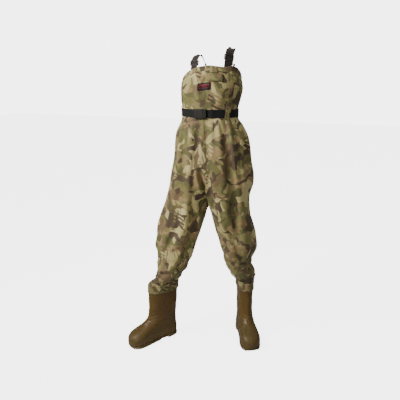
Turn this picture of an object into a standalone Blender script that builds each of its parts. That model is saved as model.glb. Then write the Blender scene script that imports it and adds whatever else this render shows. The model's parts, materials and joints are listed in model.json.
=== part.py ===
"""Stocking-leg chest waders with moulded boots: hollow fabric bib and seat, two
hollow legs in an upper and a lower section, rubber boots, waist belt with a
side-release buckle, and shoulder straps that run over to a back yoke.

Frame: metres, +Z up. The wearer faces -Y, so the wearer's left is +X. The last
step moves the origin to the ground under the middle of the whole object's box.
"""

import math

import bmesh
import bpy
from mathutils import Vector

# ------------------------------------------------------------------ dimensions
FABRIC = 0.0025          # fabric wall, as a solid
WEB_T = 0.0020           # webbing thickness
STRAP_W = 0.038          # shoulder strap width
BELT_W = 0.038           # belt width
BELT_Z = 1.229           # belt centre height
BELT_OFF = 0.0022        # belt stands this far off the bib
PLY_GAP = 0.0010         # gap between sewn plies
SEG = 36                 # segments round the bib
LEG_SEG = 26             # segments round a leg
HIP_Z = 0.655            # height of the hip folds
KNEE_Z = 0.470           # height of the knee folds
FOLD = 0.0015            # half gap at a fold's axis
HIP_FRONT = math.radians(32.0)      # rise of the hip opening towards the front
HIP_BACK = math.radians(17.0)       # and towards the back
KNEE_HALF = math.radians(23.5)      # half the angle that the knee fold opens at the back
BOOT_TOP = 0.300         # top of the rubber shaft
BOOT_WALL = 0.0032
SOLE_T = 0.0200          # underside of the boot above the ground
CUFF_LOW, CUFF_HIGH = 0.284, 0.332
LEG_LOW = 0.3015         # lower edge of the leg fabric, just over the shaft

# Bib and seat: height, centre x, centre y, half width, half depth
BIB = [
    (0.764, -0.012, -0.002, 0.1200, 0.040),
    (0.775, -0.016, -0.003, 0.1800, 0.080),
    (0.794, -0.016, -0.004, 0.2170, 0.110),
    (0.842, -0.010, -0.003, 0.2285, 0.127),
    (0.927, 0.003, 0.000, 0.2160, 0.130),
    (1.010, 0.006, 0.002, 0.1920, 0.130),
    (1.091, 0.005, 0.002, 0.1845, 0.127),
    (1.131, 0.002, 0.000, 0.1730, 0.121),
    (1.170, 0.000, 0.000, 0.1510, 0.112),
    (1.192, -0.004, 0.000, 0.1365, 0.104),
    (1.250, -0.004, 0.000, 0.1385, 0.101),
    (1.306, 0.000, 0.000, 0.1490, 0.103),
    (1.344, 0.002, 0.000, 0.1533, 0.105),
    (1.382, 0.004, 0.000, 0.1450, 0.102),
    (1.415, 0.006, 0.000, 0.1350, 0.098),
    (1.450, 0.008, 0.000, 0.1240, 0.091),
]
BIB_POWER = 2.25         # exponent of the bib's slightly squared oval
# Heights of the bib's level rings, below its shaped top edge
BIB_ROWS = [
    0.747, 0.760, 0.782, 0.842, 0.885, 0.927, 0.970, 1.010, 1.091, 1.131,
    1.150, 1.170, 1.181, 1.192, 1.220, 1.250, 1.278, 1.306, 1.325, 1.344,
]
# Height of the bib's top edge by bearing: 0 faces front, 90 the wearer's left
BIB_TOP = [
    (-180, 1.412), (-140, 1.402), (-110, 1.388), (-90, 1.384), (-65, 1.398), (-40, 1.424),
    (-15, 1.441), (5, 1.447), (30, 1.440), (45, 1.439), (62, 1.445), (80, 1.436),
    (98, 1.416), (125, 1.404), (150, 1.406), (180, 1.412),
]
# Legs: height, centre x, centre y, half width, half depth, clockwise turn (degrees)
LEGS = {
    "right": [
        (LEG_LOW, -0.2280, -0.1218, 0.0450, 0.0880, 38.6),
        (0.335, -0.2245, -0.1195, 0.0475, 0.0885, 38.6),
        (0.355, -0.2140, -0.1130, 0.0590, 0.0880, 30),
        (0.390, -0.1970, -0.1010, 0.0670, 0.0870, 16),
        (0.425, -0.1840, -0.0900, 0.0800, 0.0900, 4),
        (KNEE_Z, -0.1740, -0.0790, 0.0888, 0.0940, 0),
        (0.512, -0.1720, -0.0710, 0.0965, 0.0980, 0),
        (0.555, -0.1680, -0.0630, 0.1060, 0.1010, 0),
        (0.600, -0.1610, -0.0540, 0.1120, 0.1040, 0),
        (HIP_Z, -0.1505, -0.0410, 0.1172, 0.1080, 0),
        (0.727, -0.1395, -0.0250, 0.1145, 0.1120, 0),
        (0.770, -0.1315, -0.0160, 0.1105, 0.1140, 0),
        (0.850, -0.1080, -0.0050, 0.1040, 0.1120, 0),
    ],
    "left": [
        (LEG_LOW, 0.1765, 0.0785, 0.0450, 0.0880, -30.4),
        (0.335, 0.1765, 0.0775, 0.0475, 0.0885, -30.4),
        (0.358, 0.1715, 0.0710, 0.0610, 0.0880, -24),
        (0.390, 0.1620, 0.0620, 0.0670, 0.0880, -13),
        (0.425, 0.1470, 0.0520, 0.0660, 0.0890, -4),
        (KNEE_Z, 0.1440, 0.0470, 0.0745, 0.0920, 0),
        (0.512, 0.1480, 0.0440, 0.0870, 0.0960, 0),
        (0.555, 0.1460, 0.0390, 0.0950, 0.0990, 0),
        (0.600, 0.1370, 0.0310, 0.0990, 0.1020, 0),
        (HIP_Z, 0.1245, 0.0220, 0.0985, 0.1060, 0),
        (0.727, 0.1095, 0.0100, 0.0975, 0.1100, 0),
        (0.770, 0.1035, 0.0040, 0.1005, 0.1120, 0),
        (0.850, 0.0880, -0.0020, 0.1000, 0.1100, 0),
    ],
}
# x range of the block that cuts each leg's opening off the seat
HIP_CUT_XS = {"right": (-0.4, -0.012), "left": (-0.004, 0.4)}

# Boots: back of the heel on the ground
HEELS = {"right": (-0.1805, -0.0625), "left": (0.1380, 0.1440)}
BIG_TOE = {"right": 1.0, "left": -1.0}      # side of the foot the big toe is on, along x
TOE_BEND = 0.010         # sideways shift of the toe's tip towards the big toe
# Boot outline: height, back and front along the foot, half width, how foot-shaped it is
BOOT_ROWS = [
    (0.0200, 0.004, 0.2860, 0.0500, 1.0), (0.0320, 0.001, 0.2900, 0.0530, 1.0),
    (0.0480, 0.000, 0.2890, 0.0530, 1.0), (0.0620, 0.001, 0.2820, 0.0510, 1.0),
    (0.0740, 0.002, 0.2680, 0.0480, 0.95), (0.0840, 0.003, 0.2470, 0.0460, 0.85),
    (0.0960, 0.004, 0.2200, 0.0440, 0.6), (0.1120, 0.004, 0.1940, 0.0425, 0.3),
    (0.1320, 0.003, 0.1740, 0.0415, 0.1), (0.1600, 0.000, 0.1655, 0.0415, 0.0),
    (0.2200, -0.005, 0.1620, 0.0420, 0.0), (0.3200, -0.012, 0.1640, 0.0438, 0.0),
]
# Heights of the rings of the boot's hollow
HOLLOW_ROWS = [
    SOLE_T + BOOT_WALL, 0.032, 0.048, 0.058, 0.070, 0.080, 0.092, 0.108, 0.128, 0.156,
    0.216, 0.26, BOOT_TOP + 0.02,
]
# Footprint: fraction of the length from the heel, fraction of the half width
FOOT_HALF = [
    (0.0, 0.0), (0.02, 0.30), (0.06, 0.50), (0.12, 0.64), (0.25, 0.72), (0.42, 0.74),
    (0.58, 0.86), (0.70, 0.97), (0.78, 1.0), (0.86, 0.95), (0.92, 0.82), (0.965, 0.60),
    (0.99, 0.34), (1.0, 0.0),
]
SOLE_HALF = 0.0550       # half width of the outsole at its widest
SOLE_STATIONS = [
    0.004, 0.010, 0.022, 0.045, 0.0665, 0.0680, 0.090, 0.112, 0.122, 0.150, 0.190, 0.225,
    0.250, 0.270, 0.282, 0.289,
]
# Outsole's underside: distance from the heel, height. A raised waist lies behind the tread.
SOLE_UNDERSIDE = [
    (0.0665, 0.0), (0.0680, 0.0100), (0.112, 0.0100), (0.122, 0.0), (0.250, 0.0),
    (0.289, 0.0060),
]

# ------------------------------------------------------------------ scene reset
for old_object in list(bpy.data.objects):
    bpy.data.objects.remove(old_object, do_unlink=True)
for old_mesh in list(bpy.data.meshes):
    bpy.data.meshes.remove(old_mesh)


# ------------------------------------------------------------------ materials
def material(name, colour, roughness):
    mat = bpy.data.materials.new(name)
    mat.use_nodes = True
    shader = mat.node_tree.nodes["Principled BSDF"]
    shader.inputs["Base Color"].default_value = (*colour, 1.0)
    shader.inputs["Roughness"].default_value = roughness
    mat.diffuse_color = (*colour, 1.0)
    return mat


camo = material("camouflage_fabric", colour=(0.26, 0.22, 0.10), roughness=0.85)
camo_band = material("camouflage_band", colour=(0.30, 0.26, 0.13), roughness=0.85)
webbing = material("black_webbing", colour=(0.018, 0.018, 0.016), roughness=0.80)
elastic = material("elastic_webbing", colour=(0.040, 0.030, 0.024), roughness=0.85)
plastic = material("buckle_plastic", colour=(0.055, 0.048, 0.052), roughness=0.45)
patch_rubber = material("patch_rubber", colour=(0.020, 0.016, 0.015), roughness=0.60)
boot_rubber = material("brown_rubber", colour=(0.078, 0.038, 0.010), roughness=0.48)
sole_rubber = material("sole_rubber", colour=(0.052, 0.026, 0.009), roughness=0.62)
foam = material("insole_foam", colour=(0.10, 0.09, 0.07), roughness=0.95)


# ------------------------------------------------------------------ numbers and curves
def spread(start, end, count):
    """Evenly spaced numbers or points, both ends included."""
    return [start + (end - start) * i / (count - 1) for i in range(count)]


def value_at(height, bearing):
    """A height that is either fixed or a function of the bearing."""
    return height(bearing) if callable(height) else height


def smoothstep(t):
    t = max(0.0, min(1.0, t))
    return t * t * (3 - 2 * t)


def interp(table, x, col):
    """Straight-line reading of a table's column, held level past its ends."""
    if x <= table[0][0]:
        return table[0][col]
    for lo, hi in zip(table, table[1:]):
        if x <= hi[0]:
            t = (x - lo[0]) / (hi[0] - lo[0])
            return lo[col] + t * (hi[col] - lo[col])
    return table[-1][col]


def interp_smooth(table, x, col):
    """Cubic curve through a table's column, with slopes from the neighbouring rows."""
    last = len(table) - 1
    if x <= table[0][0]:
        return table[0][col]
    if x >= table[last][0]:
        return table[last][col]
    row = next(k for k in range(last) if x <= table[k + 1][0])

    def chord(k):
        return (table[k + 1][col] - table[k][col]) / (table[k + 1][0] - table[k][0])

    def slope(k):
        if k <= 0 or k >= last:
            return chord(row)
        before, after = chord(k - 1), chord(k)
        return 0.0 if before * after <= 0 else 2 * before * after / (before + after)

    step = table[row + 1][0] - table[row][0]
    t = (x - table[row][0]) / step
    return (
        table[row][col] * (2 * t ** 3 - 3 * t ** 2 + 1)
        + slope(row) * step * (t ** 3 - 2 * t ** 2 + t)
        + table[row + 1][col] * (-2 * t ** 3 + 3 * t ** 2)
        + slope(row + 1) * step * (t ** 3 - t ** 2)
    )


# ------------------------------------------------------------------ mesh helpers
def add(name, bm, mat, thickness=0.0, outward=1.0, smooth=True):
    """A mesh object from a bmesh; an open surface is given its wall by Solidify."""
    mesh = bpy.data.meshes.new(name)
    bm.to_mesh(mesh)
    bm.free()
    ob = bpy.data.objects.new(name, mesh)
    bpy.context.scene.collection.objects.link(ob)
    if mat is not None:
        mesh.materials.append(mat)
    if smooth:
        mesh.shade_smooth()
        mesh.set_sharp_from_angle(angle=math.radians(40))
    if thickness:
        wall = ob.modifiers.new("wall", "SOLIDIFY")
        wall.thickness = thickness
        wall.offset = outward
        wall.use_even_offset = False
    return ob


def sheet(name, point, us, vs, mat, closed=False, **wall):
    """A grid surface point(u, v); u runs round it, v runs up it. Its normal is u x v."""
    bm = bmesh.new()
    grid = [[bm.verts.new(point(u, v)) for u in us] for v in vs]
    n = len(us)
    for lower, upper in zip(grid, grid[1:]):
        for i in range(n if closed else n - 1):
            k = (i + 1) % n
            bm.faces.new((lower[i], lower[k], upper[k], upper[i]))
    return add(name, bm, mat, **wall)


def solid_loft(name, rings, mat=None, smooth=True):
    """A closed solid through rings of equal count, with the loops bridged and the ends capped."""
    bm = bmesh.new()
    loops = []
    for ring in rings:
        verts = [bm.verts.new(p) for p in ring]
        n = len(verts)
        loops.append([bm.edges.new((verts[i], verts[(i + 1) % n])) for i in range(n)])
        if ring is rings[0] or ring is rings[-1]:
            bm.faces.new(verts)
    for lower, upper in zip(loops, loops[1:]):
        bmesh.ops.bridge_loops(bm, edges=lower + upper)
    bmesh.ops.recalc_face_normals(bm, faces=bm.faces)
    return add(name, bm, mat, smooth=smooth)


def slab(name, outline, shift, mat):
    """A flat outline extruded by a vector."""
    bm = bmesh.new()
    face = bm.faces.new([bm.verts.new(p) for p in outline])
    extruded = bmesh.ops.extrude_face_region(bm, geom=[face])["geom"]
    for item in extruded:
        if isinstance(item, bmesh.types.BMVert):
            item.co += Vector(shift)
    bmesh.ops.recalc_face_normals(bm, faces=bm.faces)
    return add(name, bm, mat, smooth=False)


def bake(ob):
    """Apply the object's modifiers, so that its tools can be removed."""
    graph = bpy.context.evaluated_depsgraph_get()
    graph.update()
    mesh = bpy.data.meshes.new_from_object(ob.evaluated_get(graph))
    ob.modifiers.clear()
    old = ob.data
    ob.data = mesh
    bpy.data.meshes.remove(old)


def combine(target, operation, tools):
    """Join the tools to the target or cut them from it, then remove them."""
    for tool in tools:
        mod = target.modifiers.new(operation.lower(), "BOOLEAN")
        mod.operation = operation
        mod.object = tool
        mod.solver = "EXACT"
    bake(target)
    for tool in tools:
        bpy.data.objects.remove(tool, do_unlink=True)


def set_origin(ob, point):
    """Put the object's origin on its joint axis without moving its mesh in space."""
    point = Vector(point)
    for v in ob.data.vertices:
        v.co -= point
    ob.location = point


# ------------------------------------------------------------------ bib surface
BEARINGS = spread(0.0, 360.0, SEG + 1)[:-1]


def bib_point(deg, z, off=0.0):
    """Point on the bib's outside at a bearing and height, off metres outside it."""
    cx, cy, half_x, half_y = (interp_smooth(BIB, z, col) for col in (1, 2, 3, 4))
    t = math.radians(deg)
    s, c = math.sin(t), -math.cos(t)
    x = math.copysign(abs(s) ** (2 / BIB_POWER), s) * half_x
    y = math.copysign(abs(c) ** (2 / BIB_POWER), c) * half_y
    normal = Vector((x / (half_x * half_x), y / (half_y * half_y), 0.0))
    normal.normalize()
    return Vector((cx + x + normal.x * off, cy + y + normal.y * off, z))


def bearing_at(x, z):
    """Bearing on the front of the bib where its x is the given one, by bisection."""
    lo, hi = -90.0, 90.0
    for _ in range(50):
        mid = (lo + hi) / 2
        if bib_point(mid, z).x < x:
            lo = mid
        else:
            hi = mid
    return (lo + hi) / 2


def bearing_pair(x0, x1, z):
    return bearing_at(x0, z), bearing_at(x1, z)


def bib_top(deg):
    return interp(BIB_TOP, (deg + 180.0) % 360.0 - 180.0, 1)


def part_way_up(fraction):
    """Height between the highest level ring and the top edge, by bearing."""
    base = BIB_ROWS[-1]
    return lambda deg: base + fraction * (bib_top(deg) - base)


def bib_ring(height, off):
    return [bib_point(deg, value_at(height, deg), off) for deg in BEARINGS]


def on_bib(name, ends, low, high, off, mat, thickness, columns, rows, skew=0.0, **wall):
    """A sewn ply on the bib between two bearings and two heights; off may vary up it."""
    def point(u, v):
        lo, hi = value_at(low, u), value_at(high, u)
        z = lo + v * (hi - lo)
        return bib_point(u + skew * v, z, value_at(off, z))

    return sheet(
        name, point, spread(*ends, columns), spread(0.0, 1.0, rows), mat,
        thickness=thickness, **wall,
    )


# ------------------------------------------------------------------ leg surface
LEG_BEARINGS = spread(0.0, 360.0, LEG_SEG + 1)[:-1]


def leg_point(side, deg, z, off=0.0):
    """Point on a leg's outside at a bearing and height, off metres outside it."""
    cx, cy, half_x, half_y, turn = (interp_smooth(LEGS[side], z, col) for col in (1, 2, 3, 4, 5))
    t = math.radians(deg)
    x, y = (half_x + off) * math.sin(t), -(half_y + off) * math.cos(t)
    r = math.radians(-turn)
    return Vector((
        cx + x * math.cos(r) - y * math.sin(r),
        cy + x * math.sin(r) + y * math.cos(r),
        z,
    ))


def leg_loft(name, side, heights, off):
    return solid_loft(name, [[leg_point(side, d, z, off) for d in LEG_BEARINGS] for z in heights])


def leg_axis(side, z):
    """Centre of a leg at a height, where its joint's axis passes."""
    return Vector((interp(LEGS[side], z, 1), interp(LEGS[side], z, 2), z))


def knee_edge(side, base, back_slope):
    """Height of a knee fold's edge by bearing: level in front of the axis, sloped behind."""
    axis_y = interp(LEGS[side], base, 2)

    def height(deg):
        z = base
        for _ in range(6):
            y = leg_point(side, deg, z).y - axis_y
            z = base + max(0.0, y) * math.tan(back_slope)
        return z

    return height


# ------------------------------------------------------------------ bib and legs
def hip_cut(side):
    """Cuts a leg opening off the seat: level at the axis, rising to the front and the back."""
    y = interp(LEGS[side], HIP_Z, 2)
    reach = 0.20
    bottom = HIP_Z - 0.25
    profile = [
        (y - reach, bottom),
        (y + reach, bottom),
        (y + reach, HIP_Z + FOLD + reach * math.tan(HIP_BACK)),
        (y, HIP_Z + FOLD),
        (y - reach, HIP_Z + FOLD + reach * math.tan(HIP_FRONT)),
    ]
    rings = [[Vector((x, py, pz)) for py, pz in profile] for x in HIP_CUT_XS[side]]
    return solid_loft("hip_cut_" + side, rings, smooth=False)


def build_bib():
    """The bib and seat, joined to the tops of the legs and hollowed as one."""
    partial = [part_way_up(0.33), part_way_up(0.66)]
    shell = solid_loft(
        "bib_shell", [bib_ring(z, 0.0) for z in BIB_ROWS + partial + [bib_top]], camo
    )
    # The hollow's low rings are raised to leave a floor; its top passes the rim.
    inner_rows = [z + (FABRIC if z < 0.8 else 0.0) for z in BIB_ROWS]
    rings = [bib_ring(z, -FABRIC) for z in inner_rows + partial + [bib_top]]
    rings.append([p + Vector((0, 0, 0.05)) for p in rings[-1]])
    hollow = solid_loft("bib_hollow", rings)

    middle = [HIP_Z, 0.727, 0.770]
    legs_out = [leg_loft("leg_out_" + s, s, [0.600, *middle, 0.850], 0.0) for s in LEGS]
    legs_in = [leg_loft("leg_in_" + s, s, [0.590, *middle, 0.846], -FABRIC) for s in LEGS]
    combine(shell, "UNION", legs_out)
    combine(hollow, "UNION", legs_in)
    combine(shell, "DIFFERENCE", [hollow])
    combine(shell, "DIFFERENCE", [hip_cut(s) for s in LEGS])

    bm = bmesh.new()
    bm.from_mesh(shell.data)
    bmesh.ops.remove_doubles(bm, verts=bm.verts, dist=0.00002)
    bmesh.ops.dissolve_degenerate(bm, dist=0.00002, edges=bm.edges)
    bmesh.ops.triangulate(bm, faces=bm.faces)
    bm.to_mesh(shell.data)
    bm.free()


def leg_section(name, side, low, high, rows):
    def point(u, v):
        lo, hi = value_at(low, u), value_at(high, u)
        return leg_point(side, u, lo + v * (hi - lo))

    return sheet(
        name, point, LEG_BEARINGS, rows, camo, closed=True, thickness=FABRIC, outward=-1.0
    )


def build_leg(side):
    upper = leg_section(
        "leg_upper_" + side, side,
        low=knee_edge(side, KNEE_Z + FOLD, KNEE_HALF), high=HIP_Z - FOLD,
        rows=(0.0, 0.25, 0.5, 0.75, 1.0),
    )
    set_origin(upper, leg_axis(side, HIP_Z))
    lower = leg_section(
        "leg_lower_" + side, side,
        low=LEG_LOW, high=knee_edge(side, KNEE_Z - FOLD, -KNEE_HALF),
        rows=(0.0, 0.1, 0.2, 0.3, 0.42, 0.56, 0.78, 1.0),
    )
    set_origin(lower, leg_axis(side, KNEE_Z))


# ------------------------------------------------------------------ boots
def boot_frame(side):
    """Heel point, direction to the toe, and direction towards the wearer's left."""
    t = math.radians(-LEGS[side][0][5])         # the foot follows the turn of the ankle
    forward = Vector((math.sin(t), -math.cos(t), 0.0))
    leftward = Vector((math.cos(t), math.sin(t), 0.0))
    return Vector((*HEELS[side], 0.0)), forward, leftward


def toe_bend(side, u):
    """Sideways shift of the foot's middle at a fraction u of its length."""
    return BIG_TOE[side] * TOE_BEND * max(0.0, (u - 0.35) / 0.65) ** 1.5


def boot_ring(side, z, off=0.0, shape_z=None, count=26):
    """Outline of a boot placed at z, off metres outside it, with its shape read at shape_z."""
    heel, forward, leftward = boot_frame(side)
    row_z = z if shape_z is None else shape_z
    back, front, half, foot = (interp(BOOT_ROWS, row_z, col) for col in (1, 2, 3, 4))
    back, front = back - off, front + off
    ring = []
    for i in range(count):
        angle = 2 * math.pi * i / count
        u = (1 + math.cos(angle)) / 2
        oval = abs(math.sin(angle))
        width = oval + foot * (interp(FOOT_HALF, u, 1) - oval)
        across = (half + off) * width * math.copysign(1.0, math.sin(angle))
        along = back + u * (front - back)
        sideways = across + foot * toe_bend(side, u)
        ring.append(heel + forward * along + leftward * sideways + Vector((0, 0, z)))
    return ring


def boot_shell(side):
    heights = [row[0] for row in BOOT_ROWS[:-1]] + [0.2600, BOOT_TOP]
    shell = solid_loft("boot_" + side, [boot_ring(side, z) for z in heights], boot_rubber)
    # Above the sole, the hollow takes its shape from a little higher up, for a thicker instep.
    hollow = solid_loft("boot_hollow_" + side, [
        boot_ring(side, z, -BOOT_WALL, min(z + 0.004, 0.318) if z > 0.04 else z)
        for z in HOLLOW_ROWS
    ])
    combine(shell, "DIFFERENCE", [hollow])
    return shell


def outsole(side):
    """Heel block, raised waist and tread, in cross-sections from heel to toe."""
    heel, forward, leftward = boot_frame(side)
    high = Vector((0, 0, SOLE_T - 0.0003))
    rings = []
    for station in SOLE_STATIONS:
        u = (station + 0.002) / 0.293
        half = leftward * max(0.0005, SOLE_HALF * interp(FOOT_HALF, u, 1))
        low = Vector((0, 0, interp(SOLE_UNDERSIDE, station, 1)))
        middle = heel + forward * (station - 0.001) + leftward * toe_bend(side, u)
        rings.append([
            middle - half + low, middle + half + low,
            middle + half + high, middle - half + high,
        ])
    return solid_loft("outsole_" + side, rings, sole_rubber, smooth=False)


def insole(side):
    """A flat foam footbed inside the boot."""
    outline = boot_ring(side, SOLE_T + BOOT_WALL + 0.0008, -0.0075, 0.032, count=24)
    return slab("insole_" + side, outline, (0, 0, 0.0045), foam)


def boot_cuff(side):
    """The fabric band over the shaft's top and the leg's lower edge, clear of both."""
    def point(u, v):
        z = CUFF_LOW + v * (CUFF_HIGH - CUFF_LOW)
        drop = Vector((0, 0, min(0.0, z - LEG_LOW)))
        return leg_point(side, u, max(z, LEG_LOW), 0.0026) + drop

    return sheet(
        "boot_cuff_" + side, point, LEG_BEARINGS, (0.0, 0.32, 0.48, 0.64, 0.82, 1.0),
        camo_band, closed=True, thickness=0.0022,
    )


def build_boot(side):
    """A boot's parts all turn about the knee."""
    for piece in (boot_shell, outsole, insole, boot_cuff):
        set_origin(piece(side), leg_axis(side, KNEE_Z))


# ------------------------------------------------------------------ bib trim
LOOP_GAP = 0.0018        # gap under the belt loops' sewn ends
LOOP_REACH = 0.047       # belt loop's reach above and below the belt's centre
LOOP_REACH_FRONT = 0.072            # reach above it at the front
# Belt loops: name, bearings of the two edges, reach above the belt, skew (degrees)
BELT_LOOPS = [
    ("belt_loop_front_left", (41.0, 54.0), LOOP_REACH_FRONT, 5.0),
    ("belt_loop_front_right", (-72.0, -59.0), LOOP_REACH_FRONT, 0.0),
    ("belt_loop_back_left", (128.0, 140.0), LOOP_REACH, 0.0),
    ("belt_loop_back_right", (-140.0, -128.0), LOOP_REACH, 0.0),
]
SIDE_BANDS = {"side_band_right": (-72.0, -60.0), "side_band_left": (44.0, 56.0)}


def top_hem():
    sheet(
        "top_hem", lambda u, v: bib_point(u, bib_top(u) - 0.022 + 0.021 * v, PLY_GAP),
        BEARINGS, (0.0, 0.5, 1.0), camo_band, closed=True, thickness=0.0018,
    )


def pocket_tab():
    on_bib(
        "pocket_tab", bearing_pair(0.026, 0.060, 1.42), 1.4140, lambda u: bib_top(u) - 0.001,
        0.0040, camo_band, thickness=0.0016, columns=5, rows=5,
    )


def pocket_flap():
    """The flap turns about its top edge."""
    low, high = 1.3780, 1.4120
    ends = bearing_pair(0.008, 0.083, 1.40)
    flap = on_bib(
        "pocket_flap", ends, low, high, 0.0034, camo_band, thickness=0.0022, columns=8, rows=4
    )
    set_origin(flap, bib_point((ends[0] + ends[1]) / 2, high, 0.0045))


def inner_pocket():
    """A thin bag, open at the top, hanging behind the bib's front."""
    bearings = spread(*bearing_pair(-0.010, 0.078, 1.34), 7)
    front_off, back_off = -FABRIC - 0.0030, -FABRIC - 0.0100

    def bag(name, heights, inset, mat=None):
        return solid_loft(name, [
            [bib_point(deg, z, front_off - inset) for deg in bearings]
            + [bib_point(deg, z, back_off + inset) for deg in reversed(bearings)]
            for z in heights
        ], mat)

    pouch = bag("inner_pocket", (1.285, 1.300, 1.345, 1.390), 0.0, camo)
    hollow = bag("pouch_hollow", (1.2875, 1.300, 1.345, 1.400), 0.0016)
    # The hollow is narrowed about its middle to leave side walls.
    verts = hollow.data.vertices
    middle_x = (sum((v.co for v in verts), Vector()) / len(verts)).x
    for v in verts:
        v.co.x = middle_x + (v.co.x - middle_x) * 0.97
    combine(pouch, "DIFFERENCE", [hollow])


def name_patch():
    """Plain rubber rectangle, rising a little towards the wearer's left."""
    start, end = ends = bearing_pair(-0.033, 0.031, 1.355)

    def low(u):
        return 1.3330 + 0.0080 * (u - start) / (end - start)

    on_bib(
        "name_patch", ends, low, lambda u: low(u) + 0.034, PLY_GAP, patch_rubber,
        thickness=0.0014, columns=7, rows=3,
    )


def side_bands():
    """Bands from the hem down to the bib's waist."""
    for name, ends in SIDE_BANDS.items():
        on_bib(
            name, ends, 1.3060, lambda u: bib_top(u) - 0.024, PLY_GAP, camo_band,
            thickness=0.0014, columns=5, rows=8,
        )


def belt_loops():
    """Loops lie on the bib at their ends and stand over the belt between them."""
    def off(z):
        rise = min(1.0, max(0.0, (0.034 - abs(z - BELT_Z)) / 0.010))
        return LOOP_GAP + rise * (BELT_OFF + WEB_T + 0.0012 - LOOP_GAP)

    for name, ends, above, skew in BELT_LOOPS:
        on_bib(
            name, ends, BELT_Z - LOOP_REACH, BELT_Z + above, off, camo_band,
            thickness=0.0016, columns=4, rows=17, skew=skew,
        )


# ------------------------------------------------------------------ belt and buckle
BUCKLE_X = -0.0270                      # centre of the socket
BUCKLE_HALF = 0.0440 / 2                # half the buckle's height
BELT_HALF = BELT_W / 2
SOCKET_X0, SOCKET_X1 = BUCKLE_X - 0.0215, BUCKLE_X + 0.0215
PLUG_X0 = SOCKET_X1 + 0.0006
PLUG_X1 = SOCKET_X1 + 0.0180
SLIDE_OUT = 0.022                       # the plug's travel out of the socket
PAST = 0.01                             # how far cutting tools overshoot
# The belt is flat across the buckle, at this y, and follows the bib elsewhere.
FLAT_Y = bib_point(bearing_at(BUCKLE_X + 0.015, BELT_Z), BELT_Z).y - 0.0040
BUCKLE_FRONT, BUCKLE_BACK = FLAT_Y - 0.0112, FLAT_Y + 0.0016
BUCKLE_MID_Y = (BUCKLE_FRONT + BUCKLE_BACK) / 2
CHAMBER_YS = (BUCKLE_FRONT + 0.0022, FLAT_Y - 0.0034)
TONGUE_YS = (BUCKLE_FRONT + 0.0030, FLAT_Y - 0.0042)    # the plug's guide and prongs
PRONG_X = PLUG_X0 + 0.0030              # prong's hinge
PRONG_Z = 0.0140                        # and its distance above or below the belt's centre
# Prong outline from its root: x from the hinge, distance from the belt's centre
PRONG = [
    (0.0022, PRONG_Z - 0.0020), (0.0022, PRONG_Z + 0.0020), (-0.0080, PRONG_Z + 0.0026),
    (-0.0105, BUCKLE_HALF - 0.0006), (-0.0200, BUCKLE_HALF - 0.0006),
    (-0.0255, PRONG_Z + 0.0010), (-0.0255, PRONG_Z - 0.0010), (-0.0200, PRONG_Z - 0.0022),
]


def box(name, xs, ys, zs, mat=None, bevel=0.0):
    """A block between pairs of x, y and z, with z measured from the belt's centre."""
    lo, hi = (Vector((xs[i], ys[i], BELT_Z + zs[i])) for i in (0, 1))
    bm = bmesh.new()
    bmesh.ops.create_cube(bm, size=1.0)
    for v in bm.verts:
        v.co = Vector([(lo[i] + hi[i]) / 2 + v.co[i] * (hi[i] - lo[i]) for i in range(3)])
    ob = add(name, bm, mat, smooth=False)
    if bevel:
        edge = ob.modifiers.new("edge", "BEVEL")
        edge.width = bevel
        edge.segments = 2
        edge.limit_method = "ANGLE"
        bake(ob)
    return ob


def belt_webbing():
    """One open length from the plug, round the back, to the socket."""
    flat_lo = SOCKET_X0 - 0.004
    flat_hi = PLUG_X1 + SLIDE_OUT + 0.004
    start = bearing_at(flat_hi + 0.020, BELT_Z)
    end = bearing_at(flat_lo - 0.016, BELT_Z) + 360.0
    path = [Vector((x, FLAT_Y, BELT_Z)) for x in (SOCKET_X1 + 0.0045, flat_hi)]
    path += [bib_point(deg, BELT_Z, BELT_OFF) for deg in spread(start, end, 45)]
    path += [Vector((x, FLAT_Y, BELT_Z)) for x in (flat_lo, SOCKET_X0 + 0.0050)]
    sheet(
        "belt_webbing", lambda u, v: path[u] + Vector((0, 0, (v - 0.5) * BELT_W)),
        range(len(path)), (0.0, 1.0), webbing, thickness=WEB_T, smooth=False,
    )


def buckle_socket():
    """A flat sleeve, open towards the plug, with a slot for its end of the webbing."""
    socket = box(
        "belt_buckle_socket", (SOCKET_X0, SOCKET_X1), (BUCKLE_FRONT, BUCKLE_BACK),
        (-BUCKLE_HALF, BUCKLE_HALF), plastic, bevel=0.0012,
    )
    inner_half = BUCKLE_HALF - 0.0030
    window_xs = (SOCKET_X0 + 0.0160, SOCKET_X1 + PAST)
    window_lo, window_hi = BUCKLE_HALF - 0.0040, BUCKLE_HALF + PAST
    slot_half = BELT_HALF + 0.0006
    combine(socket, "DIFFERENCE", [
        box("chamber", (SOCKET_X0 + 0.0140, SOCKET_X1 + PAST), CHAMBER_YS,
            (-inner_half, inner_half)),
        box("window_lower", window_xs, CHAMBER_YS, (-window_hi, -window_lo)),
        box("window_upper", window_xs, CHAMBER_YS, (window_lo, window_hi)),
        box("slot", (SOCKET_X0 - PAST, SOCKET_X0 + 0.0060),
            (FLAT_Y - WEB_T - 0.0005, FLAT_Y + 0.0005), (-slot_half, slot_half)),
    ])


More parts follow.
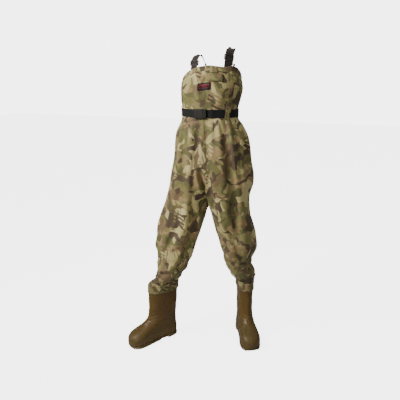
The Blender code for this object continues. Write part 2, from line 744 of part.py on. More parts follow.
def buckle_plug():
    """A sleeve round the webbing with a centre guide and pockets for the prongs' roots."""
    plug = box(
        "belt_buckle_plug", (PLUG_X0, PLUG_X1), (BUCKLE_FRONT + 0.0004, BUCKLE_BACK),
        (-BUCKLE_HALF, BUCKLE_HALF), plastic, bevel=0.0012,
    )
    guide = box("guide", (SOCKET_X0 + 0.0180, PLUG_X0 + 0.004), TONGUE_YS, (-0.0035, 0.0035))
    combine(plug, "UNION", [guide])
    tunnel_half = BELT_HALF + 0.0008
    pocket_xs = (PLUG_X0 - PAST, PLUG_X0 + 0.0060)
    pocket_lo, pocket_hi = 0.0065, BUCKLE_HALF + PAST
    combine(plug, "DIFFERENCE", [
        box("tunnel", (PLUG_X0 - PAST, PLUG_X1 + PAST),
            (FLAT_Y - WEB_T - 0.0007, FLAT_Y + 0.0007), (-tunnel_half, tunnel_half)),
        box("pocket_upper", pocket_xs, CHAMBER_YS, (pocket_lo, pocket_hi)),
        box("pocket_lower", pocket_xs, CHAMBER_YS, (-pocket_hi, -pocket_lo)),
    ])
    set_origin(plug, (PLUG_X0, BUCKLE_MID_Y, BELT_Z))


def buckle_prongs():
    """Two mirrored prongs, hinged at their roots."""
    for name, s in (("belt_buckle_prong_upper", 1.0), ("belt_buckle_prong_lower", -1.0)):
        rings = [[Vector((PRONG_X + x, y, BELT_Z + s * z)) for x, z in PRONG] for y in TONGUE_YS]
        prong = solid_loft(name, rings, plastic, smooth=False)
        set_origin(prong, (PRONG_X, BUCKLE_MID_Y, BELT_Z + s * PRONG_Z))


# ------------------------------------------------------------------ shoulder straps
STRAP_ROOT_Z = 1.345
MID_WIDTH = (0.342, -0.940, 0.0)        # direction across a strap over the shoulder
# root_x, root_gap: place of the root, and its gap behind the bib's inner face
# tangent_xs: the strap's front lies along the bib between these, at 1.38 high
# top_x, top_behind, top_z: end of the straight front run, its y measured from the root
# over: points from there over the shoulder to the yoke
# end_width: direction across the strap at the yoke
# adjuster_at: place of the adjuster as a fraction of the straight run
STRAPS = {
    "right": dict(
        root_x=-0.073, root_gap=0.0060, tangent_xs=(-0.072, -0.068),
        top_x=-0.0585, top_behind=0.0180, top_z=1.4780,
        over=[
            (-0.0530, -0.0520, 1.4930), (-0.0470, -0.0330, 1.4950), (-0.0400, -0.0140, 1.4840),
            (-0.0350, 0.0060, 1.4640), (-0.0320, 0.0380, 1.4440), (-0.0300, 0.0720, 1.4360),
            (-0.0290, 0.1025, 1.4340),
        ],
        end_width=(1, 0.0, 0.25), adjuster_at=0.86,
    ),
    "left": dict(
        root_x=0.098, root_gap=0.0070, tangent_xs=(0.101, 0.105),
        top_x=0.1025, top_behind=0.0330, top_z=1.5020,
        over=[
            (0.1040, -0.0330, 1.5180), (0.1040, -0.0140, 1.5220), (0.1040, 0.0060, 1.5110),
            (0.1000, 0.0240, 1.4880), (0.0900, 0.0480, 1.4640), (0.0730, 0.0780, 1.4500),
            (0.0520, 0.1025, 1.4450),
        ],
        end_width=(1, 0.0, 0.55), adjuster_at=0.88,
    ),
}


def spline(points, steps):
    """Smooth curve through the points (Catmull-Rom)."""
    out = []
    last = len(points) - 1
    for i in range(last):
        p0, p1, p2, p3 = (points[min(max(k, 0), last)] for k in range(i - 1, i + 3))
        for k in range(steps):
            t = k / steps
            out.append(0.5 * (
                (2 * p1) + (p2 - p0) * t + (2 * p0 - 5 * p1 + 4 * p2 - p3) * t * t
                + (3 * p1 - p0 - 3 * p2 + p3) * t ** 3
            ))
    out.append(points[-1])
    return out


def ribbon(name, path, widths, width):
    """Flat elastic along a path; widths gives the direction across it at each point."""
    sheet(
        name, lambda u, v: path[u] + widths[u] * ((v - 0.5) * width),
        range(len(path)), (0.0, 1.0), elastic, thickness=WEB_T, outward=0.0, smooth=False,
    )


def width_directions(path, first, middle, final):
    """Width directions that turn from first to final and stay square to the path."""
    out = []
    last = len(path) - 1
    for i in range(len(path)):
        along = (path[min(i + 1, last)] - path[max(i - 1, 0)]).normalized()
        s = i / last
        to_middle, to_final = smoothstep((s - 0.24) / 0.20), smoothstep((s - 0.68) / 0.28)
        wide = Vector(first) * (1 - to_middle) + Vector(middle) * to_middle
        wide = wide * (1 - to_final) + Vector(final) * to_final
        wide = wide - along * wide.dot(along)
        out.append(wide.normalized())
    return out


def strap_anchor(side, root_x):
    """Webbing pad between the strap's root and the bib."""
    on_bib(
        "strap_anchor_" + side, bearing_pair(root_x - 0.016, root_x + 0.014, STRAP_ROOT_Z),
        1.315, 1.341, -FABRIC - 0.0022, webbing, thickness=0.0015, columns=5, rows=3,
        outward=-1.0, smooth=False,
    )


def strap_adjuster(side, centre, along, wide):
    """Two front bars and a rear bar joined at their ends, with the strap straight between."""
    normal = wide.cross(along).normalized()
    if normal.y > 0:
        normal = -normal

    def bar(name, alongs, wides, normals, mat=None):
        bm = bmesh.new()
        for v in bmesh.ops.create_cube(bm, size=1.0)["verts"]:
            a, w, n = (
                lo + (unit + 0.5) * (hi - lo)
                for unit, (lo, hi) in zip(v.co, (alongs, wides, normals))
            )
            v.co = centre + along * a + wide * w + normal * n
        bmesh.ops.recalc_face_normals(bm, faces=bm.faces)
        return add(name, bm, mat, smooth=False)

    half = STRAP_W / 2 + 0.0010
    cheek, depth = (-0.0120, 0.0120), (-0.0032, 0.0032)
    span = (-half - 0.0011, half + 0.0011)
    frame = bar("strap_adjuster_" + side, cheek, (half, half + 0.0030), depth, plastic)
    combine(frame, "UNION", [
        bar("cheek", cheek, (-half - 0.0030, -half), depth),
        bar("front_bar_low", (-0.0114, -0.0083), span, (0.0015, 0.0029)),
        bar("front_bar_high", (0.0083, 0.0114), span, (0.0015, 0.0029)),
        bar("rear_bar", (-0.0018, 0.0018), span, (-0.0029, -0.0015)),
    ])
    set_origin(frame, centre)


def shoulder_strap(
    side, root_x, root_gap, tangent_xs, top_x, top_behind, top_z, over, end_width, adjuster_at
):
    """A strap with its anchor and its adjuster."""
    root = bib_point(bearing_at(root_x, STRAP_ROOT_Z), STRAP_ROOT_Z, -FABRIC - root_gap)
    top = Vector((top_x, root.y + top_behind, top_z))
    near, far = (bib_point(bearing_at(x, 1.38), 1.38) for x in tangent_xs)
    path = spread(root, top, 6) + spline([top] + [Vector(p) for p in over], 4)[1:]
    widths = width_directions(path, (far - near).normalized(), MID_WIDTH, end_width)
    ribbon("shoulder_strap_" + side, path, widths, STRAP_W)
    strap_anchor(side, root_x)
    run = top - root
    strap_adjuster(side, root + run * adjuster_at, run.normalized(), widths[2])


# ------------------------------------------------------------------ back yoke
# Yoke outline: x, z
YOKE = [
    (-0.034, 1.424), (0.000, 1.398), (0.016, 1.398), (0.057, 1.434), (0.046, 1.452),
    (0.008, 1.432), (-0.026, 1.444),
]


def back_yoke():
    slab("back_yoke", [Vector((x, 0.1043, z)) for x, z in YOKE], (0, 0.0024, 0), webbing)


def back_elastic():
    """The elastic that ties the yoke to the back of the bib."""
    profile = [(bib_point(180, z, 0.0045).y, z) for z in (1.330, 1.360)]
    profile += [(0.1075, 1.390), (0.1084, 1.412), (0.1084, 1.426)]
    path = [Vector((0.008, y, z)) for y, z in profile]
    ribbon("back_elastic", path, [Vector((1, 0, 0))] * len(path), 0.036)


# ------------------------------------------------------------------ frame
def centre_on_origin():
    """Put the origin on the ground, under the middle of the whole object's box."""
    bpy.context.view_layer.update()
    graph = bpy.context.evaluated_depsgraph_get()
    points = []
    for ob in bpy.data.objects:
        whole = ob.evaluated_get(graph)
        points += [whole.matrix_world @ v.co for v in whole.to_mesh().vertices]
        whole.to_mesh_clear()
    xs = [p.x for p in points]
    ys = [p.y for p in points]
    middle = Vector(((min(xs) + max(xs)) / 2, (min(ys) + max(ys)) / 2, 0.0))
    for ob in bpy.data.objects:
        ob.location -= middle


build_bib()
for leg_side in LEGS:
    build_leg(leg_side)
    build_boot(leg_side)
for build_trim in (
    top_hem, pocket_tab, pocket_flap, inner_pocket, name_patch, side_bands, belt_loops,
    belt_webbing, buckle_socket, buckle_plug, buckle_prongs,
):
    build_trim()
for strap_side, strap in STRAPS.items():
    shoulder_strap(strap_side, **strap)
back_yoke()
back_elastic()
centre_on_origin()
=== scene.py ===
"""Chest waders: the looks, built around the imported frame.

Fabric with simulated folds, sewn plies, webbing, moulded boots and their materials.
All lengths are metres. Shapes are laid out in the garment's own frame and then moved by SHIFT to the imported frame.
"""

import json
import math

import bmesh
import bpy
import numpy as np
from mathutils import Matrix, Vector, kdtree, noise


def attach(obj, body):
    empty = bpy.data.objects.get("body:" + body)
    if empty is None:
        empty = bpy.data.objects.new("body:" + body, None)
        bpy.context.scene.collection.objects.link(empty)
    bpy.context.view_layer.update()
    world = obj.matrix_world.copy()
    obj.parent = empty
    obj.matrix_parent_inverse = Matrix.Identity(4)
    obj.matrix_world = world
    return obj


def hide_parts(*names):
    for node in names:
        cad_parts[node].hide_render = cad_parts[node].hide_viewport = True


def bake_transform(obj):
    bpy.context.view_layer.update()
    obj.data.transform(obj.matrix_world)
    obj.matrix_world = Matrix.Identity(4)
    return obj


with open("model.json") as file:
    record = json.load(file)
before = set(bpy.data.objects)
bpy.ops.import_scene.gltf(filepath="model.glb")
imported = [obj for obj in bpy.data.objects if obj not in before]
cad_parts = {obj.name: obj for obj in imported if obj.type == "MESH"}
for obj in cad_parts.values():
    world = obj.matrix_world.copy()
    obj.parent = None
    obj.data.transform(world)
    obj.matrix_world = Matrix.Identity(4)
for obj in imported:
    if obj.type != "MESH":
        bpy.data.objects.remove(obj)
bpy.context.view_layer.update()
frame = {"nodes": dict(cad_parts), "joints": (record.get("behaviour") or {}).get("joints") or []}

JOINTS = {j["name"]: j for j in frame["joints"]}
HIP = {s: np.array(JOINTS["hip_" + s]["pos_m"], float) for s in ("right", "left")}
SHIFT = HIP["right"] - np.array((-0.1505, -0.041, 0.655))
SHIFT[2] = 0.0
COLL = bpy.context.scene.collection

# ------------------------------------------------------------------ garment tables
# Bib and seat: height, centre x, centre y, half width, half depth
BIB = np.array([
    (0.764, -0.012, -0.002, 0.120, 0.040), (0.775, -0.016, -0.003, 0.180, 0.080), (0.794, -0.016, -0.004, 0.217, 0.110),
    (0.842, -0.010, -0.003, 0.2285, 0.127), (0.927, 0.003, 0.000, 0.216, 0.130), (1.010, 0.006, 0.002, 0.192, 0.130),
    (1.091, 0.005, 0.002, 0.1845, 0.127), (1.131, 0.002, 0.000, 0.173, 0.121), (1.170, 0.000, 0.000, 0.151, 0.112),
    (1.192, -0.004, 0.000, 0.1365, 0.104), (1.250, -0.004, 0.000, 0.1385, 0.101), (1.306, 0.000, 0.000, 0.1490, 0.103),
    (1.344, 0.002, 0.000, 0.1533, 0.105), (1.382, 0.004, 0.000, 0.1450, 0.102), (1.415, 0.006, 0.000, 0.1350, 0.098),
    (1.450, 0.008, 0.000, 0.1240, 0.091)])
# Height of the bib's top edge by bearing: 0 faces front, 90 the wearer's left
BIB_TOP = np.array([
    (-180, 1.412), (-140, 1.402), (-110, 1.388), (-90, 1.384), (-65, 1.398), (-40, 1.424), (-15, 1.441), (5, 1.447),
    (30, 1.440), (45, 1.439), (62, 1.445), (80, 1.436), (98, 1.416), (125, 1.404), (150, 1.406), (180, 1.412)])
# Legs: height, centre x, centre y, half width, half depth, turn of the long axis (degrees)
LEG = {
    "right": np.array([
        (0.3015, -0.2270, -0.1212, 0.0420, 0.0862, 38.6), (0.335, -0.2240, -0.1192, 0.0440, 0.0866, 38.6),
        (0.353, -0.204, -0.107, 0.054, 0.074, 30), (0.390, -0.192, -0.099, 0.064, 0.083, 16),
        (0.425, -0.184, -0.090, 0.080, 0.090, 4), (0.470, -0.174, -0.079, 0.0888, 0.094, 0),
        (0.512, -0.172, -0.071, 0.0965, 0.098, 0), (0.555, -0.168, -0.063, 0.106, 0.101, 0),
        (0.600, -0.161, -0.054, 0.112, 0.104, 0), (0.655, -0.1505, -0.041, 0.1172, 0.108, 0),
        (0.727, -0.1395, -0.025, 0.1145, 0.112, 0), (0.770, -0.1315, -0.016, 0.1105, 0.114, 0),
        (0.850, -0.108, -0.005, 0.104, 0.112, 0)]),
    "left": np.array([
        (0.3015, 0.1760, 0.0785, 0.0415, 0.0862, -30.4), (0.334, 0.1755, 0.0775, 0.0430, 0.0866, -30.4),
        (0.353, 0.1720, 0.072, 0.0600, 0.088, -24), (0.390, 0.162, 0.062, 0.067, 0.088, -13),
        (0.425, 0.147, 0.052, 0.066, 0.089, -4), (0.470, 0.144, 0.047, 0.0745, 0.092, 0),
        (0.512, 0.148, 0.044, 0.087, 0.096, 0), (0.555, 0.146, 0.039, 0.095, 0.099, 0),
        (0.600, 0.137, 0.031, 0.099, 0.102, 0), (0.655, 0.1245, 0.022, 0.0985, 0.106, 0),
        (0.727, 0.1095, 0.010, 0.0975, 0.110, 0), (0.770, 0.1035, 0.004, 0.1005, 0.112, 0),
        (0.850, 0.088, -0.002, 0.100, 0.110, 0)]),
}
FABRIC = 0.0012          # visible thickness of the cloth
WEB_T = 0.0020
BELT_W = 0.038
BELT_Z = 1.229
BELT_OFF = 0.0022
NB, KC = 144, 15
ZC = 0.795               # height where the legs part
PF, PB = 70.0, 58.0         # bearings on the thighs where the crotch seam starts in front and ends behind
ARC = 180.0 + PF + PB
CLEFT = ((0.795, 0.810, 0.855, 0.900, 0.936, 0.965), (1.0, 0.72, 0.44, 0.27, 0.10, 0.0))
Z_TOP = 1.447
Z_END = 0.292            # lowest edge of the leg fabric, under the cuff
STEP = 0.0086
CUT_HIP, CUT_KNEE = 0.7335, 0.560   # where the fabric is divided into pieces


def curve(table, x, col):
    """Monotone cubic through a table's column."""
    X, Y = table[:, 0], table[:, col]
    x = np.clip(np.asarray(x, float), X[0], X[-1])
    i = np.clip(np.searchsorted(X, x, side="right") - 1, 0, len(X) - 2)
    h = np.diff(X)
    d = np.diff(Y) / h
    m = np.zeros(len(X))
    m[0], m[-1] = d[0], d[-1]
    for k in range(1, len(X) - 1):
        m[k] = 0.0 if d[k - 1] * d[k] <= 0 else 2 * d[k - 1] * d[k] / (d[k - 1] + d[k])
    t = (x - X[i]) / h[i]
    return (Y[i] * (2 * t**3 - 3 * t**2 + 1) + m[i] * h[i] * (t**3 - 2 * t**2 + t)
            + Y[i + 1] * (-2 * t**3 + 3 * t**2) + m[i + 1] * h[i] * (t**3 - t**2))


def sstep(t):
    t = np.clip(t, 0.0, 1.0)
    return t * t * (3 - 2 * t)


def bump(x, a, b, c, d):
    """0 below a, 1 from b to c, 0 above d."""
    return sstep((x - a) / (b - a)) * (1 - sstep((x - c) / (d - c)))


def unit(v):
    v = np.asarray(v, float)
    return v / (np.linalg.norm(v, axis=-1, keepdims=True) + 1e-12)


def bib_xyz(deg, z, off=0.0):
    deg, z = np.broadcast_arrays(np.asarray(deg, float), np.asarray(z, float))
    cx, cy, a, b = (curve(BIB, z, c) for c in (1, 2, 3, 4))
    t = np.radians(deg)
    s, c = np.sin(t), -np.cos(t)
    x = np.sign(s) * np.abs(s) ** (2 / 2.25) * a
    y = np.sign(c) * np.abs(c) ** (2 / 2.25) * b
    nx, ny = x / (a * a), y / (b * b)
    ln = np.sqrt(nx * nx + ny * ny)
    return np.stack([cx + x + nx / ln * off, cy + y + ny / ln * off, z + 0 * x], -1)


def bib_top(deg):
    d = (np.asarray(deg, float) + 180.0) % 360.0 - 180.0
    return np.interp(d, BIB_TOP[:, 0], BIB_TOP[:, 1])


def bearing_at(x, z, front=True):
    """Bearing of the bib's surface point with this x, on its front or its back."""
    lo, hi = (-90.0, 90.0) if front else (90.0, 270.0)
    for _ in range(50):
        mid = (lo + hi) / 2
        px = bib_xyz(mid, z)[0]
        if (px < x) == front:
            lo = mid
        else:
            hi = mid
    return (lo + hi) / 2


def leg_xyz(side, phi, z, off=0.0):
    T = LEG[side]
    cx, cy, a, b, turn = (curve(T, z, c) for c in (1, 2, 3, 4, 5))
    t = np.radians(phi)
    x, y = (a + off) * np.sin(t), -(b + off) * np.cos(t)
    r = np.radians(-turn)
    return np.stack([cx + x * np.cos(r) - y * np.sin(r), cy + x * np.sin(r) + y * np.cos(r), z + 0 * x], -1)


# ------------------------------------------------------------------ mesh helpers
def make(name, V, F, mats, smooth=True, fmat=None, rest=None, uvw=None):
    """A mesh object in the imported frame. rest is where its print is looked up, uvw runs along and across webbing."""
    V = np.asarray(V, float).reshape(-1, 3)
    me = bpy.data.meshes.new(name)
    me.from_pydata((V + SHIFT).tolist(), [], [tuple(int(i) for i in f) for f in F])
    for m in (mats if isinstance(mats, (list, tuple)) else [mats]):
        me.materials.append(m)
    if fmat is not None:
        me.polygons.foreach_set("material_index", np.asarray(fmat, np.int32))
    for key, data in (("rest", V if rest is None else rest), ("uvw", uvw)):
        if data is not None:
            a = me.attributes.new(key, "FLOAT_VECTOR", "POINT")
            a.data.foreach_set("vector", np.asarray(data, np.float32).ravel())
    me.update()
    if smooth:
        me.shade_smooth()
    ob = bpy.data.objects.new(name, me)
    COLL.objects.link(ob)
    return ob


def apply(ob):
    """Apply the object's modifiers."""
    dg = bpy.context.evaluated_depsgraph_get()
    dg.update()
    me = bpy.data.meshes.new_from_object(ob.evaluated_get(dg), preserve_all_data_layers=True, depsgraph=dg)
    ob.modifiers.clear()
    old = ob.data
    ob.data = me
    bpy.data.meshes.remove(old)
    return ob


def soften(ob, bevel=0.0, segments=2, angle=35, sub=0, sharp=50):
    if bevel:
        b = ob.modifiers.new("edge", "BEVEL")
        b.width, b.segments, b.limit_method, b.angle_limit = bevel, segments, "ANGLE", math.radians(angle)
        b.harden_normals = False
    if sub:
        s = ob.modifiers.new("sub", "SUBSURF")
        s.levels = s.render_levels = sub
    if bevel or sub:
        apply(ob)
    ob.data.shade_smooth()
    ob.data.set_sharp_from_angle(angle=math.radians(sharp))
    return ob


def grid_faces(nu, nv, closed=False, base=0):
    out = []
    for j in range(nv - 1):
        for i in range(nu if closed else nu - 1):
            k = (i + 1) % nu
            out.append((base + j * nu + i, base + j * nu + k, base + (j + 1) * nu + k, base + (j + 1) * nu + i))
    return out


def slab(name, top, bottom, mats, closed=False, uvw=None, rest=None, bevel=0.0, fmat=None):
    """A closed ply between two grids (rows, columns, 3); u x v of the top grid points outwards."""
    nv, nu = top.shape[:2]
    n = nu * nv
    V = np.concatenate([top.reshape(-1, 3), bottom.reshape(-1, 3)])
    F = grid_faces(nu, nv, closed)
    F += [tuple(n + i for i in f[::-1]) for f in grid_faces(nu, nv, closed)]
    cols = range(nu if closed else nu - 1)
    for j, flip in ((0, False), (nv - 1, True)):
        for i in cols:
            k = (i + 1) % nu
            q = (j * nu + i, n + j * nu + i, n + j * nu + k, j * nu + k)
            F.append(q[::-1] if flip else q)
    if not closed:
        for i, flip in ((0, True), (nu - 1, False)):
            for j in range(nv - 1):
                q = (j * nu + i, n + j * nu + i, n + (j + 1) * nu + i, (j + 1) * nu + i)
                F.append(q[::-1] if flip else q)
    if uvw is not None:
        uvw = np.concatenate([uvw.reshape(-1, 3)] * 2)
    if rest is not None:
        rest = np.concatenate([rest.reshape(-1, 3)] * 2)
    ob = make(name, V, F, mats, uvw=uvw, rest=rest)
    bm = bmesh.new()
    bm.from_mesh(ob.data)
    bmesh.ops.recalc_face_normals(bm, faces=bm.faces)
    bm.to_mesh(ob.data)
    bm.free()
    return soften(ob, bevel=bevel)


def join(name, obs):
    """Join objects into the first one."""
    for o in bpy.context.selected_objects:
        o.select_set(False)
    for o in obs:
        o.select_set(True)
    bpy.context.view_layer.objects.active = obs[0]
    if len(obs) > 1:
        bpy.ops.object.join()
    ob = obs[0]
    ob.select_set(False)
    ob.name = name
    ob.data.name = name
    return ob


# ------------------------------------------------------------------ materials
def srgb(r, g, b):
    out = []
    for c in (r, g, b):
        c /= 255.0
        out.append(c / 12.92 if c <= 0.04045 else ((c + 0.055) / 1.055) ** 2.4)
    return (*out, 1.0)


class Mat:
    """A node material built by short calls."""

    def __init__(self, name, rough=0.8):
        self.m = bpy.data.materials.new(name)
        self.m.use_nodes = True
        self.t = self.m.node_tree
        self.b = self.t.nodes["Principled BSDF"]
        self.b.inputs["Roughness"].default_value = rough

    def put(self, sock, v):
        if isinstance(v, bpy.types.NodeSocket):
            self.t.links.new(v, sock)
        elif v is not None:
            sock.default_value = v

    def node(self, kind, ins=None, **props):
        nd = self.t.nodes.new(kind)
        for k, v in props.items():
            setattr(nd, k, v)
        for k, v in (ins or {}).items():
            self.put(nd.inputs[k], v)
        return nd

    def math(self, op, a, b=None, clamp=False):
        nd = self.t.nodes.new("ShaderNodeMath")
        nd.operation, nd.use_clamp = op, clamp
        self.put(nd.inputs[0], a)
        self.put(nd.inputs[1], b)
        return nd.outputs[0]

    def vmath(self, op, a, b=None, scale=None):
        nd = self.t.nodes.new("ShaderNodeVectorMath")
        nd.operation = op
        self.put(nd.inputs[0], a)
        self.put(nd.inputs[1], b)
        if scale is not None:
            self.put(nd.inputs["Scale"], scale)
        return nd.outputs["Value"] if op in ("DOT_PRODUCT", "LENGTH") else nd.outputs["Vector"]

    def attr(self, name):
        return self.node("ShaderNodeAttribute", attribute_name=name).outputs["Vector"]

    def obj(self):
        return self.node("ShaderNodeTexCoord").outputs["Object"]

    def noise(self, vec, scale, detail=2.0, rough=0.5, dist=0.0, out="Fac"):
        nd = self.node("ShaderNodeTexNoise", {"Vector": vec, "Scale": scale, "Detail": detail, "Roughness": rough, "Distortion": dist})
        return nd.outputs[out]

    def range(self, v, a, b, c=0.0, d=1.0, smooth=True):
        nd = self.node("ShaderNodeMapRange", interpolation_type="SMOOTHSTEP" if smooth else "LINEAR")
        for i, x in enumerate((v, a, b, c, d)):
            self.put(nd.inputs[i], x)
        return nd.outputs[0]

    def mix(self, fac, a, b, mode="MIX"):
        nd = self.node("ShaderNodeMix", data_type="RGBA", blend_type=mode)
        self.put(nd.inputs[0], fac)
        self.put(nd.inputs[6], a)
        self.put(nd.inputs[7], b)
        return nd.outputs[2]

    def bump(self, height, strength, dist, normal=None):
        nd = self.node("ShaderNodeBump", {"Height": height, "Strength": strength, "Distance": dist})
        if normal is not None:
            self.put(nd.inputs["Normal"], normal)
        return nd.outputs[0]

    def out(self, **ins):
        for k, v in ins.items():
            self.put(self.b.inputs[k.replace("_", " ")], v)
        return self.m


def camo(name, shift=(0, 0, 0), gain=1.0, darker=0.0):
    """Woven nylon with a printed leaf-and-bark camouflage of seven tones."""
    m = Mat(name, 0.78)
    P = m.vmath("ADD", m.attr("rest"), shift)
    P = m.vmath("MULTIPLY", P, (0.90, 0.98, 0.78))        # blotches run a little longer up the cloth
    half = (0.5, 0.5, 0.5)
    w1 = m.vmath("SCALE", m.vmath("SUBTRACT", m.noise(P, 13.0, 1.0, out="Color"), half), scale=0.080)
    w2 = m.vmath("SCALE", m.vmath("SUBTRACT", m.noise(P, 38.0, 0.0, out="Color"), half), scale=0.017)
    W = m.vmath("ADD", m.vmath("ADD", P, w1), w2)

    def layer(off, scale, detail=0.6):
        return m.noise(m.vmath("ADD", W, off), scale, detail, 0.40)

    def fingers(off, direction, period):
        """A comb of prongs here and there on a blotch's edge."""
        q = m.vmath("DOT_PRODUCT", m.vmath("ADD", P, m.vmath("SCALE", w2, scale=0.25)), direction)
        t = m.math("SINE", m.math("MULTIPLY", q, 2 * math.pi / period))
        t = m.range(t, -0.3, 0.3, -1.0, 1.0)
        mask = m.range(m.noise(m.vmath("ADD", P, off), 12.0, 0.0), 0.68, 0.72)
        return m.math("MULTIPLY", m.math("MULTIPLY", t, mask), 0.12)

    def strokes(off, mask_off, scale, wide):
        """Tapering snaking strokes: a band along a contour of the noise, broken by a second noise."""
        d = m.math("ABSOLUTE", m.math("SUBTRACT", layer(off, scale), 0.5))
        k = m.math("MULTIPLY", m.math("SUBTRACT", m.noise(m.vmath("ADD", P, mask_off), 12.0, 1.0), 0.482), wide / 0.12)
        return m.range(m.math("SUBTRACT", m.math("MINIMUM", k, wide), d), -0.006, 0.006)

    khaki, sand, pale = srgb(128, 116, 74), srgb(160, 147, 97), srgb(180, 167, 115)
    olive, moss, green = srgb(104, 100, 58), srgb(91, 87, 53), srgb(116, 110, 68)
    tan, brown, dark = srgb(142, 120, 82), srgb(109, 90, 63), srgb(81, 67, 51)
    c = m.mix(m.range(layer((3.1, 0.4, 7.7), 15.0), 0.42, 0.58), khaki, olive)
    c = m.mix(m.range(layer((9.3, 5.2, 1.1), 18.0), 0.535, 0.575), c, tan)
    c = m.mix(m.range(layer((4.4, 6.1, 3.9), 19.0), 0.560, 0.585), c, green)
    c = m.mix(m.range(layer((1.7, 8.8, 4.1), 21.0), 0.585, 0.600), c, moss)
    f1 = fingers((4.0, 1.0, 2.0), (0.95, 0.2, 0.25), 0.0150)
    f2 = fingers((7.0, 3.0, 5.0), (0.35, 0.2, 0.92), 0.0140)
    v = m.math("ADD", m.math("ADD", layer((0.0, 0.0, 0.0), 19.0), f1), f2)
    light = m.mix(m.range(layer((6.6, 2.2, 0.3), 12.0), 0.44, 0.56), sand, pale)
    c = m.mix(m.range(v, 0.553, 0.566), c, light)
    c = m.mix(strokes((12.4, 3.3, 9.9), (3.0, 8.0, 1.0), 10.0, 0.050), c, brown)
    c = m.mix(m.range(m.math("ADD", layer((5.5, 11.2, 2.4), 20.0), f2), 0.650, 0.665), c, dark)
    c = m.mix(strokes((8.4, 1.3, 2.9), (5.0, 2.0, 7.0), 10.0, 0.052), c, dark)
    # faint heather of the yarn, and soft wear where the cloth stands proud
    yarn = m.noise(P, 900.0, 1.0)
    c = m.mix(m.range(yarn, 0.3, 0.7, 0.0, 0.10, smooth=False), c, (0.55, 0.50, 0.36, 1.0), "OVERLAY")
    # broad tone that differs at random, times a painted shade that darkens the lower legs
    tone_and_shade = m.range(m.noise(P, 5.0, 2.0), 0.3, 0.7, 0.90, 1.08)
    low = m.node("ShaderNodeSeparateXYZ", {"Vector": m.attr("rest")}).outputs[2]
    tone_and_shade = m.math("MULTIPLY", tone_and_shade, m.range(low, 0.34, 0.66, 0.80, 1.0))   # painted shade: the lower legs darker towards the bottom, standing in for light falling off down the legs
    c = m.mix(1.0, c, m.vmath("SCALE", (gain, gain, gain), scale=tone_and_shade), "MULTIPLY")
    edge = m.node("ShaderNodeNewGeometry").outputs["Pointiness"]
    c = m.mix(m.range(edge, 0.50, 0.56, 0.0, 0.12), c, srgb(166, 152, 108))
    # plain weave, about 1.1 mm, over crinkle
    R = m.attr("rest")
    sx = m.node("ShaderNodeSeparateXYZ", {"Vector": R})
    ang = m.math("ADD", sx.outputs[0], sx.outputs[1])
    wa = m.math("SINE", m.math("MULTIPLY", ang, 2 * math.pi / 0.0013))
    wb = m.math("SINE", m.math("MULTIPLY", sx.outputs[2], 2 * math.pi / 0.0013))
    weave = m.math("MULTIPLY", wa, wb)
    crinkle = m.noise(R, 65.0, 4.0, 0.6, 0.6)
    n = m.bump(crinkle, 0.30, 0.0025)
    n = m.bump(weave, 0.12, 0.0003, n)
    rough = m.range(m.noise(R, 22.0, 3.0), 0.3, 0.7, 0.68, 0.86)
    return m.out(Base_Color=c, Roughness=rough, Normal=n, Sheen_Weight=0.05, Sheen_Roughness=0.45, Specular_IOR_Level=0.22)


def lining(name):
    """Grey-green coating on the inside of the cloth."""
    m = Mat(name, 0.6)
    R = m.attr("rest")
    c = m.mix(m.range(m.noise(R, 30.0, 4.0), 0.35, 0.65), srgb(74, 78, 62), srgb(92, 95, 76))
    n = m.bump(m.noise(R, 120.0, 3.0), 0.25, 0.001)
    return m.out(Base_Color=c, Roughness=m.range(m.noise(R, 60.0), 0.3, 0.7, 0.5, 0.7), Normal=n)


def webbing(name, base, light, period=0.0021, ribs=False, rough=0.75):
    """Narrow woven tape: herringbone ribs along it, a plain selvedge and a little lint."""
    m = Mat(name, rough)
    U = m.attr("uvw")
    s = m.node("ShaderNodeSeparateXYZ", {"Vector": U})
    along, across = s.outputs[0], s.outputs[1]
    if ribs:
        h = m.math("SINE", m.math("MULTIPLY", across, 2 * math.pi / 0.0017))
        k = m.math("SINE", m.math("MULTIPLY", along, 2 * math.pi / 0.0026))
        h = m.math("ADD", h, m.math("MULTIPLY", k, 0.45))
    else:
        zig = m.math("PINGPONG", across, 0.0048)
        h = m.math("SINE", m.math("MULTIPLY", m.math("ADD", along, zig), 2 * math.pi / period))
        k = m.math("SINE", m.math("MULTIPLY", across, 2 * math.pi / 0.0012))
        h = m.math("ADD", h, m.math("MULTIPLY", k, 0.35))
    hh = m.range(h, -1.3, 1.3, 0.0, 1.0, smooth=False)
    c = m.mix(hh, base, light)
    lint = m.range(m.noise(m.attr("rest"), 260.0, 3.0, 0.7), 0.60, 0.75, 0.0, 0.12)
    c = m.mix(lint, c, (0.12, 0.11, 0.09, 1.0))
    edge = m.math("ABSOLUTE", across)
    worn = m.math("MULTIPLY", m.range(edge, 0.0155, 0.0188, 0.0, 1.0), m.range(m.noise(m.attr("rest"), 70.0, 3.0), 0.45, 0.65, 0.0, 0.25))
    c = m.mix(worn, c, (0.10, 0.09, 0.075, 1.0))
    n = m.bump(hh, 0.32, 0.0005)
    return m.out(Base_Color=c, Roughness=m.range(hh, 0.0, 1.0, rough + 0.1, rough - 0.08), Normal=n, Sheen_Weight=0.03, Specular_IOR_Level=0.22)


def thread(name, colour):
    m = Mat(name, 0.7)
    R = m.obj()
    c = m.mix(m.range(m.noise(R, 400.0, 2.0), 0.35, 0.65), colour, tuple(x * 0.6 for x in colour[:3]) + (1.0,))
    n = m.bump(m.node("ShaderNodeTexWave", {"Vector": R, "Scale": 900.0, "Distortion": 1.0}).outputs["Fac"], 0.3, 0.0002)
    return m.out(Base_Color=c, Normal=n, Specular_IOR_Level=0.2)


